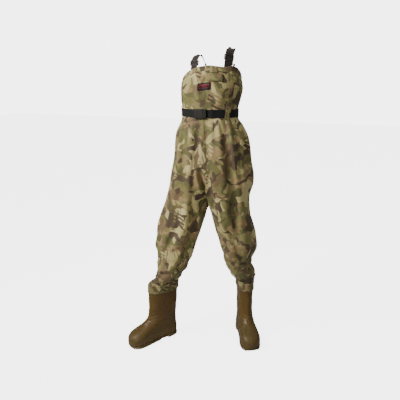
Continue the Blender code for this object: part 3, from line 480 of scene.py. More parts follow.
def plastic(name, base, light, rough=0.50):
    """Moulded acetal: fine spark grain, faint flow marks and rubbed edges."""
    m = Mat(name, rough)
    R = m.obj()
    c = m.mix(m.range(m.noise(R, 35.0, 3.0, 0.6), 0.35, 0.65), base, light)
    edge = m.node("ShaderNodeNewGeometry").outputs["Pointiness"]
    c = m.mix(m.range(edge, 0.52, 0.60, 0.0, 0.35), c, tuple(min(1.0, x * 2.4) for x in light[:3]) + (1.0,))
    grain = m.noise(R, 1800.0, 2.0)
    n = m.bump(grain, 0.10, 0.0002)
    n = m.bump(m.noise(R, 90.0, 2.0), 0.05, 0.001, n)
    return m.out(Base_Color=c, Roughness=m.range(m.noise(R, 140.0, 3.0), 0.3, 0.7, rough - 0.08, rough + 0.12), Normal=n, Specular_IOR_Level=0.28)


def rubber(name, base, dark, red, rough=0.42):
    """Moulded boot rubber: mottled brown, dustier low down, scuffed, with a satin bloom."""
    m = Mat(name, rough)
    R = m.attr("rest")
    s = m.node("ShaderNodeSeparateXYZ", {"Vector": R})
    c = m.mix(m.range(m.noise(R, 9.0, 3.0), 0.35, 0.65), base, dark)
    c = m.mix(m.range(m.noise(R, 14.0, 2.0), 0.48, 0.68, 0.0, 0.5), c, red)
    foot = m.range(s.outputs[2], 0.16, 0.07, 0.0, 0.55)
    c = m.mix(foot, c, srgb(71, 59, 25))
    bloom = m.math("MULTIPLY", m.range(m.noise(R, 26.0, 4.0, 0.6), 0.50, 0.72), 0.12)
    c = m.mix(bloom, c, srgb(112, 88, 36))
    dust = m.math("MULTIPLY", m.range(s.outputs[2], 0.0, 0.075, 1.0, 0.0), m.range(m.noise(R, 45.0, 5.0, 0.7), 0.40, 0.70))
    c = m.mix(m.math("MULTIPLY", dust, 0.35), c, srgb(128, 110, 80))
    edge = m.node("ShaderNodeNewGeometry").outputs["Pointiness"]
    c = m.mix(m.range(edge, 0.50, 0.58, 0.0, 0.25), c, srgb(116, 88, 46))
    n = m.bump(m.noise(R, 700.0, 2.0), 0.05, 0.0003)
    n = m.bump(m.noise(R, 40.0, 3.0, 0.5), 0.08, 0.0012, n)
    r = m.range(m.noise(R, 24.0, 3.0, 0.5), 0.30, 0.70, rough - 0.02, rough + 0.16)
    r = m.math("ADD", r, m.math("MULTIPLY", dust, 0.2))
    return m.out(Base_Color=c, Roughness=r, Normal=n, Specular_IOR_Level=0.30)


def foam(name):
    m = Mat(name, 0.9)
    R = m.obj()
    v = m.node("ShaderNodeTexVoronoi", {"Vector": R, "Scale": 520.0}).outputs["Distance"]
    c = m.mix(m.range(m.noise(R, 60.0, 4.0), 0.35, 0.65), srgb(96, 90, 76), srgb(118, 112, 94))
    return m.out(Base_Color=c, Normal=m.bump(v, 0.3, 0.0006), Sheen_Weight=0.25)


CAMO = camo("camouflage_nylon", (0.37, 0.12, 0.21))
CAMO_HEM = camo("camouflage_hem", (0.44, 0.52, 0.73), 0.84)
CAMO_TAB = camo("camouflage_tab", (0.83, 0.02, 0.44), 1.04)
CAMO_BAND = camo("camouflage_band", (0.52, 0.61, 0.28), 1.0)
LINING = lining("inner_coating")
WEB = webbing("belt_tape", srgb(11, 11, 9), srgb(24, 24, 19))
ELASTIC = webbing("elastic_tape", srgb(36, 29, 23), srgb(66, 54, 42), ribs=True)
ELASTIC_R = webbing("strap_tape", srgb(33, 26, 20), srgb(50, 40, 31), ribs=True)
THREAD = thread("sewing_thread", srgb(96, 84, 54))
THREAD_DARK = thread("dark_thread", srgb(52, 46, 38))
BUCKLE = plastic("buckle_acetal", srgb(26, 23, 20), srgb(35, 31, 27))
PLUG = plastic("plug_acetal", srgb(16, 16, 13), srgb(24, 23, 19))
SLIDER = plastic("slider_acetal", srgb(34, 31, 30), srgb(50, 46, 44))
RUBBER = rubber("boot_rubber", srgb(80, 59, 15), srgb(72, 51, 12), srgb(77, 49, 14))
SOLE = rubber("sole_rubber", srgb(70, 50, 24), srgb(50, 35, 17), srgb(62, 38, 20), 0.6)
FOAM = foam("insole_foam")


# ------------------------------------------------------------------ the garment's cloth
def garment():
    """Vertices, quads, label (0 body, 1 left leg, 2 right leg) and the seam columns of the whole fabric shell."""
    verts, label = [], []
    deg = 360.0 * np.arange(NB) / NB
    zt = bib_top(deg)
    nrow = int((Z_TOP - ZC) / STEP)
    half = NB // 2
    rings = []
    for j in range(nrow + 1):
        zz = Z_TOP - (Z_TOP - ZC) * j / nrow
        z = np.where(zz > 1.30, 1.30 + (zz - 1.30) / (Z_TOP - 1.30) * (zt - 1.30), zz) * np.ones(NB)
        p = bib_xyz(deg, np.maximum(z, 0.80))
        p[:, 2] = z
        # the cleft between the thighs starts higher at the centre, front and back
        near = np.exp(-(((deg + 180) % 360 - 180) / 13.0) ** 2) + 0.7 * np.exp(-((deg - 180) / 15.0) ** 2)
        w = np.maximum(sstep((0.885 - z) / (0.885 - ZC)), near * np.interp(z, CLEFT[0], CLEFT[1]))[:, None]
        lp = np.zeros((NB, 3))
        il, ir = np.arange(0, half + 1), np.arange(half, NB)
        lp[il] = leg_xyz("left", -PF + ARC * il / half, z[il])
        bl = lp[half].copy()
        rr = leg_xyz("right", 180 - PB + ARC * (ir - half) / half, z[ir])
        lp[ir] = rr
        lp[half] = (bl + rr[0]) / 2
        lp[0] = (lp[0] + leg_xyz("right", np.array([360.0 + PF]), z[:1])[0]) / 2
        lp[:, 2] = z
        rings.append([len(verts) + k for k in range(NB)])
        verts.extend((p * (1 - w) + lp * w).tolist())
        label.extend([0] * NB)
    faces = []
    for a, b in zip(rings, rings[1:]):
        for i in range(NB):
            k = (i + 1) % NB
            faces.append((b[i], b[k], a[k], a[i]))
    last = rings[-1]
    A, B = np.array(verts[last[0]]), np.array(verts[last[half]])
    seam = []
    for k in range(1, KC + 1):
        t = k / (KC + 1)
        p = A * (1 - t) + B * t
        p[2] = ZC - 0.016 * math.sin(math.pi * t)
        seam.append(len(verts))
        verts.append(p.tolist())
        label.append(0)
    legs = {}
    for side in ("left", "right"):
        if side == "left":
            ring = last[: half + 1] + seam[::-1]
            phi = np.concatenate([-PF + ARC * np.arange(half + 1) / half, 180 + PB + (360 - ARC) * np.arange(1, KC + 1) / (KC + 1)])
        else:
            ring = last[half:] + [last[0]] + seam
            phi = np.concatenate([180 - PB + ARC * np.arange(half + 1) / half, 360 + PF + (360 - ARC) * np.arange(1, KC + 1) / (KC + 1)])
        base = np.array([verts[i] for i in ring])
        n2 = int((ZC - Z_END) / STEP)
        rows = [ring]
        for j in range(1, n2 + 1):
            z = ZC - (ZC - Z_END) * j / n2
            w = float(sstep((ZC - z) / 0.070))
            c = base.copy()
            c[:, 2] = z
            p = c * (1 - w) + leg_xyz(side, phi, np.full(len(phi), z)) * w
            ids = [len(verts) + k for k in range(len(phi))]
            verts.extend(p.tolist())
            label.extend([1 if side == "left" else 2] * len(phi))
            prev = rows[-1]
            for i in range(len(phi)):
                k = (i + 1) % len(phi)
                faces.append((ids[i], ids[k], prev[k], prev[i]))
            rows.append(ids)
        legs[side] = rows
    return np.array(verts), faces, np.array(label), rings, legs, [last[0]] + seam + [last[half]]


def edges_of(faces):
    f = np.array(faces)
    e = np.concatenate([f[:, [0, 1]], f[:, [1, 2]], f[:, [2, 3]], f[:, [3, 0]]])
    return np.unique(np.sort(e, 1), axis=0)


def laplace(P, E, weight, rounds):
    """Repeated averaging with neighbours, by a weight per point."""
    n = len(P)
    cnt = np.bincount(E.ravel(), minlength=n).astype(float)[:, None]
    w = np.broadcast_to(np.asarray(weight, float).reshape(-1, 1), (n, 1))
    for _ in range(rounds):
        S = np.stack([np.bincount(E[:, 0], P[E[:, 1], c], n) + np.bincount(E[:, 1], P[E[:, 0], c], n) for c in range(P.shape[1])], 1)
        P = P + (S / cnt - P) * w
    return P


def normals_of(P, faces):
    f = np.array(faces)
    n = np.cross(P[f[:, 2]] - P[f[:, 0]], P[f[:, 3]] - P[f[:, 1]])
    out = np.zeros_like(P)
    for c in range(4):
        for k in range(3):
            out[:, k] += np.bincount(f[:, c], n[:, k], len(P))
    return unit(out)


def perlin(P, scale, seed):
    s = np.broadcast_to(np.asarray(scale, float), (3,))
    Q = P * s + seed
    return np.array([noise.noise(Vector(q)) for q in Q.tolist()])


V0, QUADS, LABEL, RINGS, LEGROWS, CROTCH = garment()
EDGES = edges_of(QUADS)
V0 = laplace(V0, EDGES, np.clip(1 - np.abs(V0[:, 2] - ZC - 0.010) / 0.09, 0, 1) * 0.6, 12)
Z0 = V0[:, 2].copy()
ISLEG = LABEL > 0
BEAR = np.degrees(np.arctan2(V0[:, 0], -V0[:, 1]))
CX, CY = np.zeros(len(V0)), np.zeros(len(V0))
PHI = BEAR.copy()
for s_, l_ in (("left", 1), ("right", 2)):
    m_ = LABEL == l_
    CX[m_], CY[m_] = curve(LEG[s_], Z0[m_], 1), curve(LEG[s_], Z0[m_], 2)
    PHI[m_] = np.degrees(np.arctan2(V0[m_, 0] - CX[m_], -(V0[m_, 1] - CY[m_])))
NORM0 = normals_of(V0, QUADS)

# Where the cloth is held: under the belt, along the hem and where it is welded to the boots
HELD = np.exp(-((Z0 - 1.226) / 0.024) ** 4)
HELD = np.maximum(HELD, np.where(ISLEG, 1 - sstep((Z0 - 0.318) / 0.022), 0))
HELD = np.maximum(HELD, np.where(~ISLEG & (Z0 > 1.30), 1 - sstep((bib_top(BEAR) - Z0 - 0.006) / 0.03), 0))


def crease(P, a, b, width, depth):
    """A soft valley of the given depth along the segment a-b, with a faint ridge on each side."""
    a, b = np.asarray(a, float), np.asarray(b, float)
    d = b - a
    t = np.clip(((P - a) @ d) / (d @ d), 0, 1)
    r = np.linalg.norm(P - (a + t[:, None] * d), axis=1) / width
    env = np.sin(np.pi * np.clip(t * 0.86 + 0.07, 0, 1)) ** 0.7
    return depth * env * (0.55 * np.exp(-((r - 1.7) / 0.75) ** 2) - np.exp(-r * r))


# Drag lines on each leg: (bearing, height) of both ends, width, depth
LEG_LINES = {
    "right": (
        ((20, 0.700), (-5, 0.560), 0.015, 0.0070), ((-30, 0.690), (-62, 0.600), 0.015, 0.0060), ((70, 0.640), (15, 0.520), 0.014, 0.0070),
        ((62, 0.520), (-8, 0.452), 0.013, 0.0085), ((-75, 0.520), (-22, 0.470), 0.013, 0.0060), ((55, 0.455), (0, 0.398), 0.012, 0.0075),
        ((-60, 0.430), (-8, 0.382), 0.012, 0.0065), ((140, 0.560), (200, 0.500), 0.014, 0.0065), ((230, 0.470), (160, 0.420), 0.013, 0.0065)),
    "left": (
        ((-10, 0.700), (12, 0.575), 0.015, 0.0065), ((50, 0.690), (78, 0.590), 0.015, 0.0060), ((-50, 0.600), (5, 0.500), 0.014, 0.0070),
        ((80, 0.470), (10, 0.425), 0.013, 0.0090), ((-62, 0.500), (2, 0.448), 0.013, 0.0070), ((95, 0.420), (30, 0.398), 0.012, 0.0060),
        ((-50, 0.425), (15, 0.385), 0.012, 0.0070), ((150, 0.560), (210, 0.500), 0.014, 0.0065), ((230, 0.450), (165, 0.410), 0.013, 0.0065)),
}


def laid_folds():
    """Folds that the cut and the stance put in: gathers at the belt, the crotch crease, the bunching over knees and boots."""
    h = np.zeros(len(V0))
    # gathers hanging from the belt, uneven in width and length
    warp = perlin(V0, (9, 9, 2.0), 3.3) * 26
    g = np.sin(np.radians((BEAR + warp) * 13)) * 0.6 + np.sin(np.radians((BEAR - warp) * 8 + 40)) * 0.5
    low = 1.045 + 0.05 * np.sin(np.radians(BEAR * 3 + 25))
    h += np.where(~ISLEG, g * 0.0062 * bump(Z0, low - 0.09, low + 0.06, 1.170, 1.208), 0)
    # light gathers over the belt
    h += np.where(~ISLEG, g * 0.0012 * bump(Z0, 1.242, 1.262, 1.268, 1.315), 0)
    F = V0
    # centre-front crease down to the crotch and the drag lines that run from it
    h += crease(F, (-0.018, -0.127, 0.955), (-0.004, -0.098, 0.850), 0.011, 0.0260)
    h += crease(F, (-0.007, -0.108, 0.890), (-0.007, -0.048, 0.795), 0.011, 0.0160)
    h += crease(F, (-0.045, -0.085, 0.800), (-0.150, -0.125, 0.815), 0.013, 0.0050)
    h += crease(F, (0.032, -0.080, 0.800), (0.120, -0.105, 0.830), 0.013, 0.0050)
    h += crease(F, (0.026, -0.072, 0.765), (0.105, -0.085, 0.640), 0.014, 0.0045)
    h += crease(F, (-0.052, -0.080, 0.765), (-0.120, -0.120, 0.630), 0.014, 0.0045)
    h += crease(F, (-0.006, 0.128, 0.955), (-0.010, 0.095, 0.850), 0.013, 0.0120)
    h += crease(F, (-0.050, 0.078, 0.790), (-0.150, 0.085, 0.790), 0.014, 0.0050)
    h += crease(F, (0.034, 0.088, 0.800), (0.130, 0.105, 0.800), 0.014, 0.0050)
    # each leg: slanting folds round the knee and rings of bunched cloth over the boot
    for l, side in ((1, "left"), (2, "right")):
        on = LABEL == l
        sgn = 1.0 if side == "left" else -1.0
        P = F[on]
        phi = np.radians(PHI[on]) * sgn
        z = Z0[on]
        wob = perlin(P, (7, 7, 9), 11.0 + l) * 0.030
        zz = z + 0.030 * np.sin(phi + 0.5 * l) + wob
        k = np.zeros(len(P))
        k += 0.0052 * np.sin(2 * np.pi * zz / 0.058 + 1.1 * l) * bump(z, 0.335, 0.375, 0.455, 0.500)
        k += 0.0022 * np.sin(2 * np.pi * (z - 0.020 * np.sin(phi * 2 + l) + wob) / 0.031) * bump(z, 0.325, 0.350, 0.420, 0.460)
        tall = perlin(P, (16, 16, 4.5), 31.0 + 7 * l)
        k += 0.0080 * tall * bump(z, 0.47, 0.54, 0.66, 0.72)
        slant = np.sin(2 * np.pi * (z * 0.9 + 0.10 * phi / np.pi + wob * 1.4) / 0.105 + l)
        k += 0.0034 * slant * bump(z, 0.43, 0.49, 0.60, 0.68)
        h[on] += k
        for a_, b_, wd, dp in LEG_LINES[side]:
            h += crease(F, leg_xyz(side, a_[0], a_[1]), leg_xyz(side, b_[0], b_[1]), wd, dp * 1.3)
    h += np.where(~ISLEG, 0.0035 * perlin(V0, (12, 12, 7), 51.0) * bump(Z0, 0.77, 0.86, 1.08, 1.14), 0)
    h += np.where(~ISLEG, 0.0018 * perlin(V0, (14, 14, 9), 61.0) * bump(Z0, 1.25, 1.29, 1.36, 1.42), 0)
    return h * (1 - HELD)


def simulate(start):
    """Cloth simulation of the whole shell, cut fuller than its shape so that it has to fold. Returns the displacement."""
    ring = np.where(ISLEG, 0.05 * bump(Z0, 0.33, 0.42, 0.60, 0.70),
                    0.014 + 0.085 * bump(Z0, 1.02, 1.12, 1.19, 1.205) + 0.05 * bump(Z0, 0.86, 0.93, 1.10, 1.15))
    grid = np.linspace(0.28, 1.46, 600)
    ev = 0.14 * bump(grid, 0.30, 0.34, 0.42, 0.50) + 0.08 * bump(grid, 0.42, 0.48, 0.60, 0.70) + 0.03 * bump(grid, 0.70, 0.80, 1.05, 1.18) + 0.005
    zr = np.concatenate([[0], np.cumsum((1 + (ev[1:] + ev[:-1]) / 2) * np.diff(grid))]) + 0.28
    rest = V0.copy()
    rest[:, 0] = CX + (V0[:, 0] - CX) * (1 + ring)
    rest[:, 1] = CY + (V0[:, 1] - CY) * (1 + ring)
    rest[:, 2] = np.interp(Z0, grid, zr)
    me = bpy.data.meshes.new("cloth")
    me.from_pydata(start.tolist(), [], QUADS)
    ob = bpy.data.objects.new("cloth", me)
    COLL.objects.link(ob)
    ob.shape_key_add(name="Basis")
    key = ob.shape_key_add(name="rest")
    key.data.foreach_set("co", rest.astype(np.float32).ravel())
    pin = ob.vertex_groups.new(name="pin")
    for i in np.nonzero(HELD > 0.002)[0]:
        pin.add([int(i)], float(min(1.0, HELD[i] * 1.02)), "REPLACE")
    mod = ob.modifiers.new("cloth", "CLOTH")
    s = mod.settings
    s.quality, s.mass, s.air_damping = 4, 0.25, 3
    s.tension_stiffness = s.compression_stiffness = 28
    s.shear_stiffness, s.bending_stiffness = 7, 3.0
    s.tension_damping = s.compression_damping = s.shear_damping = 5
    s.bending_damping = 0.5
    s.vertex_group_mass = "pin"
    s.pin_stiffness = 10
    s.rest_shape_key = key
    s.effector_weights.gravity = 0.3
    mod.collision_settings.use_collision = False
    mod.point_cache.frame_end = 60
    for f in range(1, 27):
        bpy.context.scene.frame_set(f)
    dg = bpy.context.evaluated_depsgraph_get()
    done = bpy.data.meshes.new_from_object(ob.evaluated_get(dg))
    C = np.zeros(len(V0) * 3, np.float32)
    done.vertices.foreach_get("co", C)
    bpy.data.objects.remove(ob, do_unlink=True)
    bpy.data.meshes.remove(me)
    bpy.data.meshes.remove(done)
    bpy.context.scene.frame_set(1)
    return C.reshape(-1, 3).astype(float) - start


def limit(D, most):
    n = np.linalg.norm(D, axis=1, keepdims=True) + 1e-9
    return D / n * most * np.tanh(n / most)


LAID = laid_folds()
START = V0 + NORM0 * LAID[:, None]
D = simulate(START + NORM0 * (0.0012 * perlin(V0, 40, 7.0) * (1 - HELD))[:, None])
D = D - laplace(D, EDGES, 0.5, 70)          # keep the folds, leave out the sag
D = limit(laplace(D, EDGES, 0.3, 2), 0.012) * (1 - HELD)[:, None]
V1 = START + 1.3 * D

# One level of subdivision, carrying the unfolded position of each point
ob_ = bpy.data.objects.new("whole", bpy.data.meshes.new("whole"))
ob_.data.from_pydata(V1.tolist(), [], QUADS)
COLL.objects.link(ob_)
a_ = ob_.data.attributes.new("rest", "FLOAT_VECTOR", "POINT")
a_.data.foreach_set("vector", V0.astype(np.float32).ravel())
m_ = ob_.modifiers.new("sub", "SUBSURF")
m_.levels = m_.render_levels = 1
apply(ob_)
NV = len(ob_.data.vertices)
P1, R1 = np.zeros(NV * 3, np.float32), np.zeros(NV * 3, np.float32)
ob_.data.vertices.foreach_get("co", P1)
ob_.data.attributes["rest"].data.foreach_get("vector", R1)
P1, R1 = P1.reshape(-1, 3).astype(float), R1.reshape(-1, 3).astype(float)
F1 = np.zeros(len(ob_.data.polygons) * 4, np.int32)
ob_.data.polygons.foreach_get("vertices", F1)
F1 = F1.reshape(-1, 4)
bpy.data.objects.remove(ob_, do_unlink=True)
N1 = normals_of(P1, F1)
TREE = kdtree.KDTree(NV)
for i_, r_ in enumerate(R1.tolist()):
    TREE.insert(r_, i_)
TREE.balance()


def drape(Q, off=0.0, full=False):
    """Points Q of the unfolded surface, laid on the folded cloth and lifted off it along its normal."""
    Q = np.asarray(Q, float)
    flat = Q.reshape(-1, 3)
    out, nor = np.zeros_like(flat), np.zeros_like(flat)
    for i, q in enumerate(flat.tolist()):
        near = TREE.find_n(q, 4)
        ids = [k for _, k, _ in near]
        w = np.array([1.0 / (d * d + 1e-8) for _, _, d in near])
        w /= w.sum()
        out[i] = flat[i] + w @ (P1[ids] - R1[ids])
        nor[i] = w @ N1[ids]
    nor = unit(nor)
    out = out + nor * np.broadcast_to(np.asarray(off, float).reshape(-1, 1) if np.ndim(off) else off, (len(flat), 1))
    out = out.reshape(Q.shape)
    return (out, nor.reshape(Q.shape)) if full else out


def cloth_piece(name, mask, mats=None):
    """A closed piece of the cloth: its outside, its inside and the edges between, with the whole shell's normals."""
    f = F1[mask]
    ids = np.unique(f)
    new = -np.ones(NV, int)
    new[ids] = np.arange(len(ids))
    f = new[f]
    n = len(ids)
    P, N, R = P1[ids], N1[ids], R1[ids]
    V = np.concatenate([P, P - N * FABRIC])
    e = np.concatenate([f[:, [0, 1]], f[:, [1, 2]], f[:, [2, 3]], f[:, [3, 0]]])
    k = np.sort(e, 1)
    _, idx, cnt = np.unique(k, axis=0, return_index=True, return_counts=True)
    rim = e[idx[cnt == 1]]
    faces = [tuple(q) for q in f.tolist()] + [tuple(n + i for i in q[::-1]) for q in f.tolist()]
    faces += [(b, a, n + a, n + b) for a, b in rim.tolist()]
    fm = [0] * len(f) + [1] * len(f) + [0] * len(rim)
    ob = make(name, V, faces, mats or [CAMO, LINING], fmat=fm, rest=np.concatenate([R, R]))
    loops = []
    loops.append(N[f].reshape(-1, 3))
    loops.append(-N[f[:, ::-1]].reshape(-1, 3))
    r = np.array([(b, a) for a, b in rim.tolist()])
    face_n = unit(np.cross(P[r[:, 1]] - P[r[:, 0]], -N[r[:, 0]])) if len(r) else np.zeros((0, 3))
    loops.append(np.repeat(face_n, 4, axis=0))
    ob.data.normals_split_custom_set(np.concatenate(loops).tolist())
    return ob


FC = R1[F1].mean(1)
# Left or right by the side of the crotch the face lies on
LEFT = FC[:, 0] > np.interp(FC[:, 2], [0.30, 0.56, 0.7335], [-0.02, -0.012, -0.0145])
IN_LEG = FC[:, 2] < CUT_HIP
IN_SHIN = FC[:, 2] < CUT_KNEE
for side in ("right", "left"):
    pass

body = cloth_piece("fabric_body", ~IN_LEG)
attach(body, "torso")
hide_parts("bib_shell")
for side in ("right", "left"):
    which = LEFT if side == "left" else ~LEFT
    ob = cloth_piece("fabric_thigh_" + side, IN_LEG & ~IN_SHIN & which)
    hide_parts("leg_upper_" + side)
    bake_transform(ob)
    ob = cloth_piece("fabric_shin_" + side, IN_SHIN & which)
    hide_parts("leg_lower_" + side)
    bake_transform(ob)


# ------------------------------------------------------------------ stitching
def stitch_mesh(paths, pitch=0.0042, length=0.0029, width=0.00042, lift=0.0003):
    """Rows of thread stitches along paths of (points, normals)."""
    V, F = [], []
    for P, N in paths:
        seg = np.linalg.norm(np.diff(P, axis=0), axis=1)
        s = np.concatenate([[0], np.cumsum(seg)])
        for c in np.arange(pitch * 0.5, s[-1] - pitch * 0.4, pitch):
            def at(x):
                return np.array([np.interp(x, s, P[:, k]) for k in range(3)])
            a, b = at(c - length / 2), at(c + length / 2)
            n = unit(np.array([np.interp(c, s, N[:, k]) for k in range(3)]))
            t = unit(b - a)
            w = np.cross(n, t)
            base = len(V)
            for x, r, h in ((a, 0.35, -0.0002), (a * 0.75 + b * 0.25, 1.0, lift), (a * 0.25 + b * 0.75, 1.0, lift), (b, 0.35, -0.0002)):
                for q in ((1, 0), (0, 1), (-1, 0), (0, -1)):
                    V.append(x + n * h + (w * q[0] + n * q[1] * 0.8) * width * r)
            for j in range(3):
                for i in range(4):
                    k = (i + 1) % 4
                    F.append((base + 4 * j + i, base + 4 * j + k, base + 4 * (j + 1) + k, base + 4 * (j + 1) + i))
            F.append((base + 3, base + 2, base + 1, base))
            F.append((base + 12, base + 13, base + 14, base + 15))
    return np.array(V), F


STITCH = {"torso": []}                       # body or (a, b) pair -> list of paths
for side in ("right", "left"):
    STITCH["hip_" + side], STITCH["knee_" + side], STITCH["shin_" + side] = [], [], []


def sew(key, Q, off):
    """A row of stitches on the cloth along the unfolded points Q."""
    STITCH[key].append(drape(Q, off, full=True))


# ------------------------------------------------------------------ seam tapes
def seam_tape(name, centre, before, after, wide=0.0052, thick=0.0009, key="torso", mats=None):
    """A felled seam: a narrow crowned strip along centre, reaching towards the columns on both sides."""
    c, b, a = V0[centre], V0[before], V0[after]
    ua, ub = unit(a - c), unit(b - c)
    cols = []
    for f in (-1.0, -0.72, 0.0, 0.72, 1.0):
        cols.append(c + (ub if f < 0 else ua) * abs(f) * wide)
    Q = np.stack(cols, 1)
    offs = np.array([0.00015, thick * 0.85, thick, thick * 0.85, 0.00015])
    top = drape(Q, np.tile(offs, len(Q)))
    bot = drape(Q, -0.0006)
    ob = slab(name, top, bot, mats or CAMO, rest=Q)
    for f in (-0.55, 0.55):
        k = (ub if f < 0 else ua) * abs(f) * wide
        STITCH[key].append(drape(c + k, thick * 0.95, full=True))
    return ob


def column(i):
    return np.array([r[i % NB] for r in RINGS])


def leg_column(side, i):
    rows = LEGROWS[side]
    return np.array([r[i % len(r)] for r in rows])


tapes = []
q4 = NB // 4
z_of = V0[:, 2]
for name, i in (("seam_front", 0), ("seam_back", NB // 2), ("seam_side_left", q4), ("seam_side_right", 3 * q4)):
    c, b, a = column(i), column(i - 1), column(i + 1)
    top_z = 1.19 if i == 0 else 1.40
    keep = z_of[c] < top_z
    if i in (q4, 3 * q4):
        keep &= z_of[c] > CUT_HIP - 0.002
    tapes.append(seam_tape(name, c[keep], b[keep], a[keep]))
cr = np.array(CROTCH)
row1l = np.array([LEGROWS["left"][1][k] for k in [0] + list(range(len(LEGROWS["left"][1]) - 1, NB // 2, -1)) + [NB // 2]])
row1r = np.array([LEGROWS["right"][1][k] for k in range(NB // 2, len(LEGROWS["right"][1]))] + [LEGROWS["right"][1][0]])
tapes.append(seam_tape("seam_crotch", cr, row1r, row1l))
for side in ("left", "right"):
    half = NB // 2
    n = len(LEGROWS[side][0])
    for tag, i in (("out", half // 2), ("in", half + (KC + 1) // 2)):
        c, b, a = leg_column(side, i), leg_column(side, i - 1), leg_column(side, i + 1)
        for part, lo, hi, key in (("up", CUT_HIP, 9, "torso"), ("hip", CUT_KNEE, CUT_HIP, "hip_" + side), ("knee", 0.335, CUT_KNEE, "knee_" + side)):
            z = z_of[c]
            keep = np.nonzero((z >= lo - STEP * 1.05) & (z <= hi + STEP * 0.05))[0]
            if part == "up":
                keep = keep[keep > 0] if tag == "in" else keep
            if len(keep) < 3:
                continue
            ob = seam_tape(f"seam_{tag}_{part}_{side}", c[keep], b[keep], a[keep], key=key)
            if part == "up":
                tapes.append(ob)
            elif part == "hip":
                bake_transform(ob)
            else:
                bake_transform(ob)
ob = join("seams_body", tapes)
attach(ob, "torso")


# ------------------------------------------------------------------ plies on the bib
def ply(name, b0, b1, z0, z1, off, thick, mat, nu=12, nv=12, skew=0.0, tilt=0.0, key="torso", rows=((0.10, 0.90),), crown=0.0, margin=0.0024):
    """A sewn ply between two bearings and two heights, laid on the folded cloth."""
    u, v = np.linspace(0, 1, nu), np.linspace(0, 1, nv)
    U, W = np.meshgrid(u, v)
    deg = b0 + (b1 - b0) * U + skew * W
    lo = z0(deg) if callable(z0) else z0 + 0 * deg
    hi = z1(deg) if callable(z1) else z1 + 0 * deg
    z = lo + W * (hi - lo) + tilt * U
    Q = bib_xyz(deg, z)
    o = off(z) if callable(off) else off + 0 * z
    edge = np.minimum(np.minimum(U, 1 - U) * 6, np.minimum(W, 1 - W) * 6)
    t = thick * (0.62 + 0.38 * sstep(edge * 1.4)) + crown * np.sin(np.pi * U) * np.sin(np.pi * W)
    top = drape(Q, (o + t).ravel())
    bot = drape(Q, o.ravel())
    ob = slab(name, top, bot, mat, rest=Q + np.array((0.0, 0.0, 0.0)), bevel=min(thick * 0.30, 0.0005))
    return ob, (U, W, deg, z, o, t)


def stitch_ring(top_fn, margin_u, margin_w, key, n=26):
    """Stitch line round a ply: top_fn(u, w) gives the unfolded point and its offset."""
    path = []
    for a, b in (((margin_u, margin_w), (1 - margin_u, margin_w)), ((1 - margin_u, margin_w), (1 - margin_u, 1 - margin_w)),
                 ((1 - margin_u, 1 - margin_w), (margin_u, 1 - margin_w)), ((margin_u, 1 - margin_w), (margin_u, margin_w))):
        us = np.linspace(a[0], b[0], n)
        ws = np.linspace(a[1], b[1], n)
        Q, o = top_fn(us, ws)
        STITCH[key].append(drape(Q, o, full=True))


def bib_ply(name, b0, b1, z0, z1, off, thick, mat, nu=12, nv=12, skew=0.0, tilt=0.0, key="torso", mu=None, mw=None, stitched=True):
    ob, _ = ply(name, b0, b1, z0, z1, off, thick, mat, nu, nv, skew, tilt)
    if stitched:
        def fn(us, ws):
            deg = b0 + (b1 - b0) * us + skew * ws
            lo = z0(deg) if callable(z0) else z0 + 0 * deg
            hi = z1(deg) if callable(z1) else z1 + 0 * deg
            z = lo + ws * (hi - lo) + tilt * us
            o = off(z) if callable(off) else off + 0 * z
            return bib_xyz(deg, z), o + thick * 0.98
        stitch_ring(fn, mu or 0.09, mw or 0.07, key)
    return ob


# Binding folded over the bib's top edge: outside, over the rim and down the inside
nb = 180
deg = 360.0 * np.arange(nb) / nb
rows_q, rows_o = [], []
for dz, off in ((-0.0215, 0.0006), (-0.0212, 0.0019), (-0.0150, 0.0023), (-0.0080, 0.0024), (-0.0030, 0.0025), (-0.0002, 0.0023)):
    rows_q.append(bib_xyz(deg, bib_top(deg) + dz))
    rows_o.append(np.full(nb, off))
outer = drape(np.array(rows_q), np.array(rows_o).ravel())
lip, lip_n = drape(bib_xyz(deg, bib_top(deg) - 0.0004), 0.0, full=True)
over = [lip + lip_n * o + np.array((0, 0, dz)) for o, dz in ((0.0017, 0.0012), (0.0004, 0.0021), (-0.0012, 0.0021), (-0.0026, 0.0012))]
rows_q = []
for dz in (-0.0006, -0.0060, -0.0120, -0.0170):
    rows_q.append(bib_xyz(deg, bib_top(deg) + dz))
inner = drape(np.array(rows_q), -(FABRIC + 0.0019))
back = drape(np.array(rows_q[::-1] + [bib_xyz(deg, bib_top(deg) - 0.0215)]), np.concatenate([np.full(nb * 4, -FABRIC - 0.0002), np.full(nb, -FABRIC - 0.0002)]))
loop = np.concatenate([outer, np.array(over), inner])
V = loop.reshape(-1, 3)
F = grid_faces(nb, len(loop), True)
m = len(loop) - 1
F += [(m * nb + i, m * nb + (i + 1) % nb, (i + 1) % nb, i) for i in range(nb)]       # through the cloth, unseen
ob = make("top_binding", V, F, CAMO_HEM, rest=V)
soften(ob)
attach(ob, "torso")
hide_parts("top_hem")
for dz in (-0.0178, -0.0048):
    sew("torso", bib_xyz(np.append(deg, 360.0), bib_top(np.append(deg, 360.0)) + dz), 0.00235)

